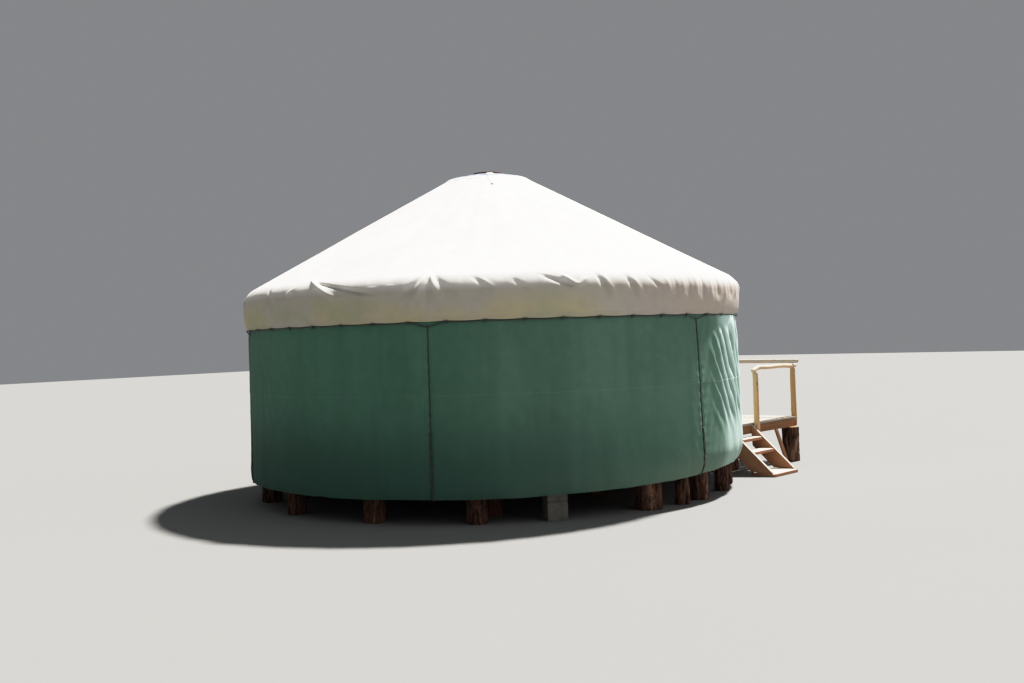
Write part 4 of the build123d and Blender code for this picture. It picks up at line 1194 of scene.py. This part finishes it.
class YURT_OT_stair(bpy.types.Operator):
    """Build the stair: two stringers, two treads and the foot plank"""
    bl_idname = "yurt.stair"
    bl_label = "Stair"

    def execute(self, context):
        low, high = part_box("stair_stringers")
        thick, deep, step = 0.038, 0.270, 0.042
        slope = (high.z - low.z) / (high.x - low.x)
        angle = atan2(slope, 1)
        level, upright = lambda p, q: -p / tan(angle), lambda p, q: p * tan(angle)
        boards = [plank((low.x + deep / slope / 2, y, low.z), (high.x, y, high.z - deep / 2), (0, -1, 0),
                        deep * cos(angle), thick, 900 + k, ends=(level, upright), rows=40)
                  for k, y in enumerate((low.y + thick / 2, high.y - thick / 2))]
        piece("stair_stringer_boards", boards, ["stair plank"], ["stair_stringers"])
        edge, deck, rise = high.x, 0.600, 0.907
        low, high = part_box("stair_treads")
        boards = []
        for k, (top, depth) in enumerate(((0.450, 0.160), (0.300, 0.200))):
            nose = edge - (deck - top) / rise
            back = min(nose + depth, edge)
            boards.append(self.tread((nose, low.y, top - step), (back, high.y, top), 910 + k, 26))
        piece("stair_tread_boards", boards, ["stair plank"], ["stair_treads"])
        board = self.tread(*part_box("stair_foot_plank"), 920, 30)
        piece("stair_foot_board", [board], ["stair plank"], ["stair_foot_plank"])
        return {"FINISHED"}

    @staticmethod
    def tread(low, high, seed, rows):
        """A board that fills the box between two corners and runs from side to side."""
        middle, z = (low[0] + high[0]) / 2, (low[2] + high[2]) / 2
        return plank((middle, low[1], z), (middle, high[1], z), UP, high[0] - low[0], high[2] - low[2], seed,
                     rows=rows, round_off=0.006)


class YURT_OT_door(bpy.types.Operator):
    """Hang the plank door in its frame, with its handle and hinges"""
    bl_idname = "yurt.door"
    bl_label = "Door"

    def execute(self, context):
        self.frame_boards()
        self.leaf()
        self.grip()
        self.straps()
        return {"FINISHED"}

    def frame_boards(self):
        """A sill, a head and two jambs."""
        low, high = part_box("door_frame")
        recess, half, jamb, sill = 0.080, high.x, 0.060, 0.040
        deep = high.y - low.y - recess
        y, z = (low.y + high.y) / 2, low.z + sill / 2
        boards = [plank((-half, y, z), (half, y, z), UP, high.y - low.y, sill, 1000)]
        y, z = high.y - deep / 2, high.z - jamb / 2
        boards.append(plank((-half, y, z), (half, y, z), (0, -1, 0), jamb, deep, 1001))
        for k, x in enumerate((jamb / 2 - half, half - jamb / 2)):
            boards.append(plank((x, y, low.z + sill), (x, y, high.z - jamb), (0, -1, 0), jamb, deep, 1002 + k,
                                rows=40))
        piece("door_frame_boards", boards, ["planed timber"], ["door_frame"])

    def leaf(self):
        """Upright boards side by side, and three ledges across their back."""
        low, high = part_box("door_leaf")
        count, gap, thick, ledge = 6, 0.003, 0.036, 0.022
        wide = (high.x - low.x + gap) / count
        boards = []
        for k in range(count):
            x, y = low.x + (k + 0.5) * wide - gap / 2, low.y + thick / 2
            boards.append(plank((x, y, low.z), (x, y, high.z), (0, -1, 0), wide - gap, thick, 1010 + k,
                                rows=50, round_off=0.005, warp=0.0008))
        left, right = low.x + 0.006, high.x - 0.006
        for k, share in enumerate((0.14, 0.5, 0.86)):
            y, z = low.y + thick + ledge / 2, low.z + share * (high.z - low.z)
            boards.append(plank((left, y, z), (right, y, z), (0, 1, 0), 0.110, ledge, 1020 + k))
        piece("door_leaf_boards", boards, ["planed timber"], ["door_leaf"])

    def grip(self):
        """A bowed handle: a superellipse from the door out and back."""
        low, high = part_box("door_handle")
        size, turn = high.x - low.x, np.linspace(0, pi, 61)
        side = np.cos(turn)
        y = high.y - (high.y - low.y - size / 2) * np.sin(turn) ** 0.45
        z = (low.z + high.z - (high.z - low.z - size) * np.sign(side) * np.abs(side) ** 0.7) / 2
        bow = np.stack([np.full(61, (low.x + high.x) / 2), y, z], axis=1)
        piece("door_grip", [tube(bow, size / 2, ACROSS, 14)], ["iron"], ["door_handle"])

    def straps(self):
        """Two strap hinges: a flat bar that narrows away from its pin, held by four studs."""
        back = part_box("door_hinges")[1].y
        low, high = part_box("door_leaf")
        long, rows = 0.380, 40
        share = np.linspace(0, 1, rows)
        taper = 1 - 0.55 * (1 - share) - 0.3 * bump_at(share, 0.02)
        taper = np.concatenate([taper[:1], taper, taper[-1:]])[:, None]
        grids = []
        for k, level in enumerate((0.14, 0.86)):
            z = low.z + level * (high.z - low.z)
            strap = plank((high.x - long, back - 0.002, z), (high.x, back - 0.002, z), (0, -1, 0), 0.040,
                          0.004, 1030 + k, rows=rows, round_off=0.0015, warp=0.0002)
            strap["points"][..., 2] = z + (strap["points"][..., 2] - z) * taper
            pin = np.linspace((high.x, back - 0.008, z - 0.020), (high.x, back - 0.008, z + 0.020), 20)
            grids += [strap, tube(pin, 0.008, ACROSS, 16)]
            for at in (0.10, 0.36, 0.62, 0.86):
                stud = np.array([[high.x - long * (1 - at), back - out, z] for out in (0.003, 0.0065, 0.008)])
                grids.append(tube(stud, np.array([[0.006], [0.0055], [0.003]]), ACROSS, 12))
        piece("door_straps", grids, ["iron"], ["door_hinges"])


class YURT_OT_framing(bpy.types.Operator):
    """Finish the framed timber that keeps its shape: floor, rim, joists, beams, lattice and poles"""
    bl_idname = "yurt.framing"
    bl_label = "Framing"

    def execute(self, context):
        for name in ("floor", "floor_rim", "floor_joists", "floor_beams"):
            refinish(name, "floor timber")
        for name in ("roof_poles", *("lattice_%d" % k for k in range(1, 6))):
            refinish(name, "lattice wood")
        return {"FINISHED"}


class YURT_OT_stage(bpy.types.Operator):
    """Set the camera, the pale floor and the soft lights"""
    bl_idname = "yurt.stage"
    bl_label = "Stage"

    def execute(self, context):
        scene = context.scene
        self.camera(scene)
        self.ground(scene)
        world = bpy.data.worlds.new("studio")
        scene.world = world
        world.use_nodes = True
        sky = world.node_tree.nodes["Background"]
        sky.inputs["Color"].default_value = (0.93, 0.96, 1.0, 1.0)
        sky.inputs["Strength"].default_value = 0.25
        self.light(scene, "key", -1.5, 61.5, power=15.0, spread=4.0, tone=(1.0, 0.97, 0.92))
        self.light(scene, "fill", -76.0, 18.0, power=0.85, spread=70.0, tone=(0.96, 0.98, 1.0))
        scene.view_settings.view_transform = "Standard"
        self.shoulder(scene.view_settings)
        return {"FINISHED"}

    def camera(self, scene):
        """A camera beside the yurt, turned, tipped and rolled, all about a bearing round the axis."""
        camera = bpy.data.objects.new("camera", bpy.data.cameras.new("camera"))
        scene.collection.objects.link(camera)
        camera.data.lens, camera.data.sensor_width, camera.data.clip_end = 39.54, 36.0, 200.0
        yaw, pitch, roll, bearing = (radians(v) for v in (0.953, -0.237, 1.958, -137.4))
        right = Vector((cos(yaw), -sin(yaw), 0))
        up = Vector((-sin(yaw) * sin(pitch), -cos(yaw) * sin(pitch), cos(pitch)))
        ahead = Vector((sin(yaw) * cos(pitch), cos(yaw) * cos(pitch), sin(pitch)))
        tilted = cos(roll) * right - sin(roll) * up
        upright = sin(roll) * right + cos(roll) * up
        turn = Matrix.Rotation(bearing, 3, "Z")
        facing = Matrix([turn @ v for v in (tilted, upright, -ahead)]).transposed().to_4x4()
        camera.matrix_world = Matrix.Translation((-9.565, 10.402, 1.87)) @ facing
        scene.camera = camera

    def ground(self, scene):
        """A wide pale floor, faintly uneven in tone."""
        mesh = bpy.data.meshes.new("ground")
        corners = [(x * 60.0, y * 60.0, 0) for x, y in ((-1, -1), (1, -1), (1, 1), (-1, 1))]
        mesh.from_pydata(corners, [], [(0, 1, 2, 3)])
        ground = bpy.data.objects.new("ground", mesh)
        scene.collection.objects.link(ground)
        pale = Finish("pale floor", 0.9, Specular_IOR_Level=0.1)
        shade = pale.noise(pale.place(), 0.4, 2.0)
        mesh.materials.append(pale.done(pale.coat((0.170, 0.170, 0.166), shade, 0.3, (0.156, 0.156, 0.152))))

    def shoulder(self, view):
        """Bright values bend over instead of being cut off: straight up to the knee, and above it one
        minus an exponential of the distance past the knee."""
        knee, top = 0.45, 4.0
        bright = np.array([0.0, 0.2, knee, 0.6, 0.8, 1.0, 1.3, 1.7, 2.2, 3.0, top])
        shown = np.where(bright < knee, bright, 1 - (1 - knee) * np.exp((knee - bright) / (1 - knee)))
        view.use_curve_mapping = True
        curve = view.curve_mapping.curves[3]
        view.curve_mapping.white_level = (top, top, top)
        curve.points[0].location = (0.0, 0.0)
        curve.points[-1].location = (1.0, float(shown[-1]))
        for x, y in zip(bright[1:-1] / top, shown[1:-1]):
            curve.points.new(float(x), float(y))
        view.curve_mapping.update()

    def light(self, scene, name, angle, lift, power, spread, tone):
        """A far light at an angle round the axis, lifted above the floor, with a soft edge."""
        lamp = bpy.data.lights.new(name, "SUN")
        lamp.energy, lamp.angle, lamp.color = power, radians(spread), tone
        made = bpy.data.objects.new(name, lamp)
        scene.collection.objects.link(made)
        towards = Vector(spot(1.0, angle, tan(radians(lift))))
        made.matrix_world = towards.to_track_quat("Z", "Y").to_matrix().to_4x4()


OPERATORS = (YURT_OT_stage, YURT_OT_framing, YURT_OT_wall_canvas, YURT_OT_roof_canvas, YURT_OT_crown,
             YURT_OT_cords, YURT_OT_stumps, YURT_OT_deck, YURT_OT_rails, YURT_OT_stair, YURT_OT_door)


class YURT_PT_panel(bpy.types.Panel):
    """Sizes, colours and pieces of the yurt"""
    bl_idname = "YURT_PT_panel"
    bl_label = "Yurt"
    bl_space_type = "VIEW_3D"
    bl_region_type = "UI"
    bl_category = "Yurt"

    def draw(self, context):
        for group in (context.scene.yurt_sizes, context.scene.yurt_colours):
            box = self.layout.box()
            for key in group.__annotations__:
                box.prop(group, key)
        for operator in OPERATORS:
            self.layout.operator(operator.bl_idname)


CLASSES = (YurtSizes, YurtColours, *OPERATORS, YURT_PT_panel)


def register():
    for kind in CLASSES:
        bpy.utils.register_class(kind)
    bpy.types.Scene.yurt_sizes = PointerProperty(type=YurtSizes)
    bpy.types.Scene.yurt_colours = PointerProperty(type=YurtColours)


def unregister():
    del bpy.types.Scene.yurt_colours
    del bpy.types.Scene.yurt_sizes
    for kind in reversed(CLASSES):
        bpy.utils.unregister_class(kind)


def main():
    register()
    bpy.ops.yurt.stage()
    bpy.ops.yurt.framing()
    bpy.ops.yurt.wall_canvas()
    bpy.ops.yurt.roof_canvas()
    bpy.ops.yurt.crown()
    bpy.ops.yurt.cords()
    bpy.ops.yurt.stumps()
    bpy.ops.yurt.deck()
    bpy.ops.yurt.rails()
    bpy.ops.yurt.stair()
    bpy.ops.yurt.door()


if __name__ == "__main__":
    main()
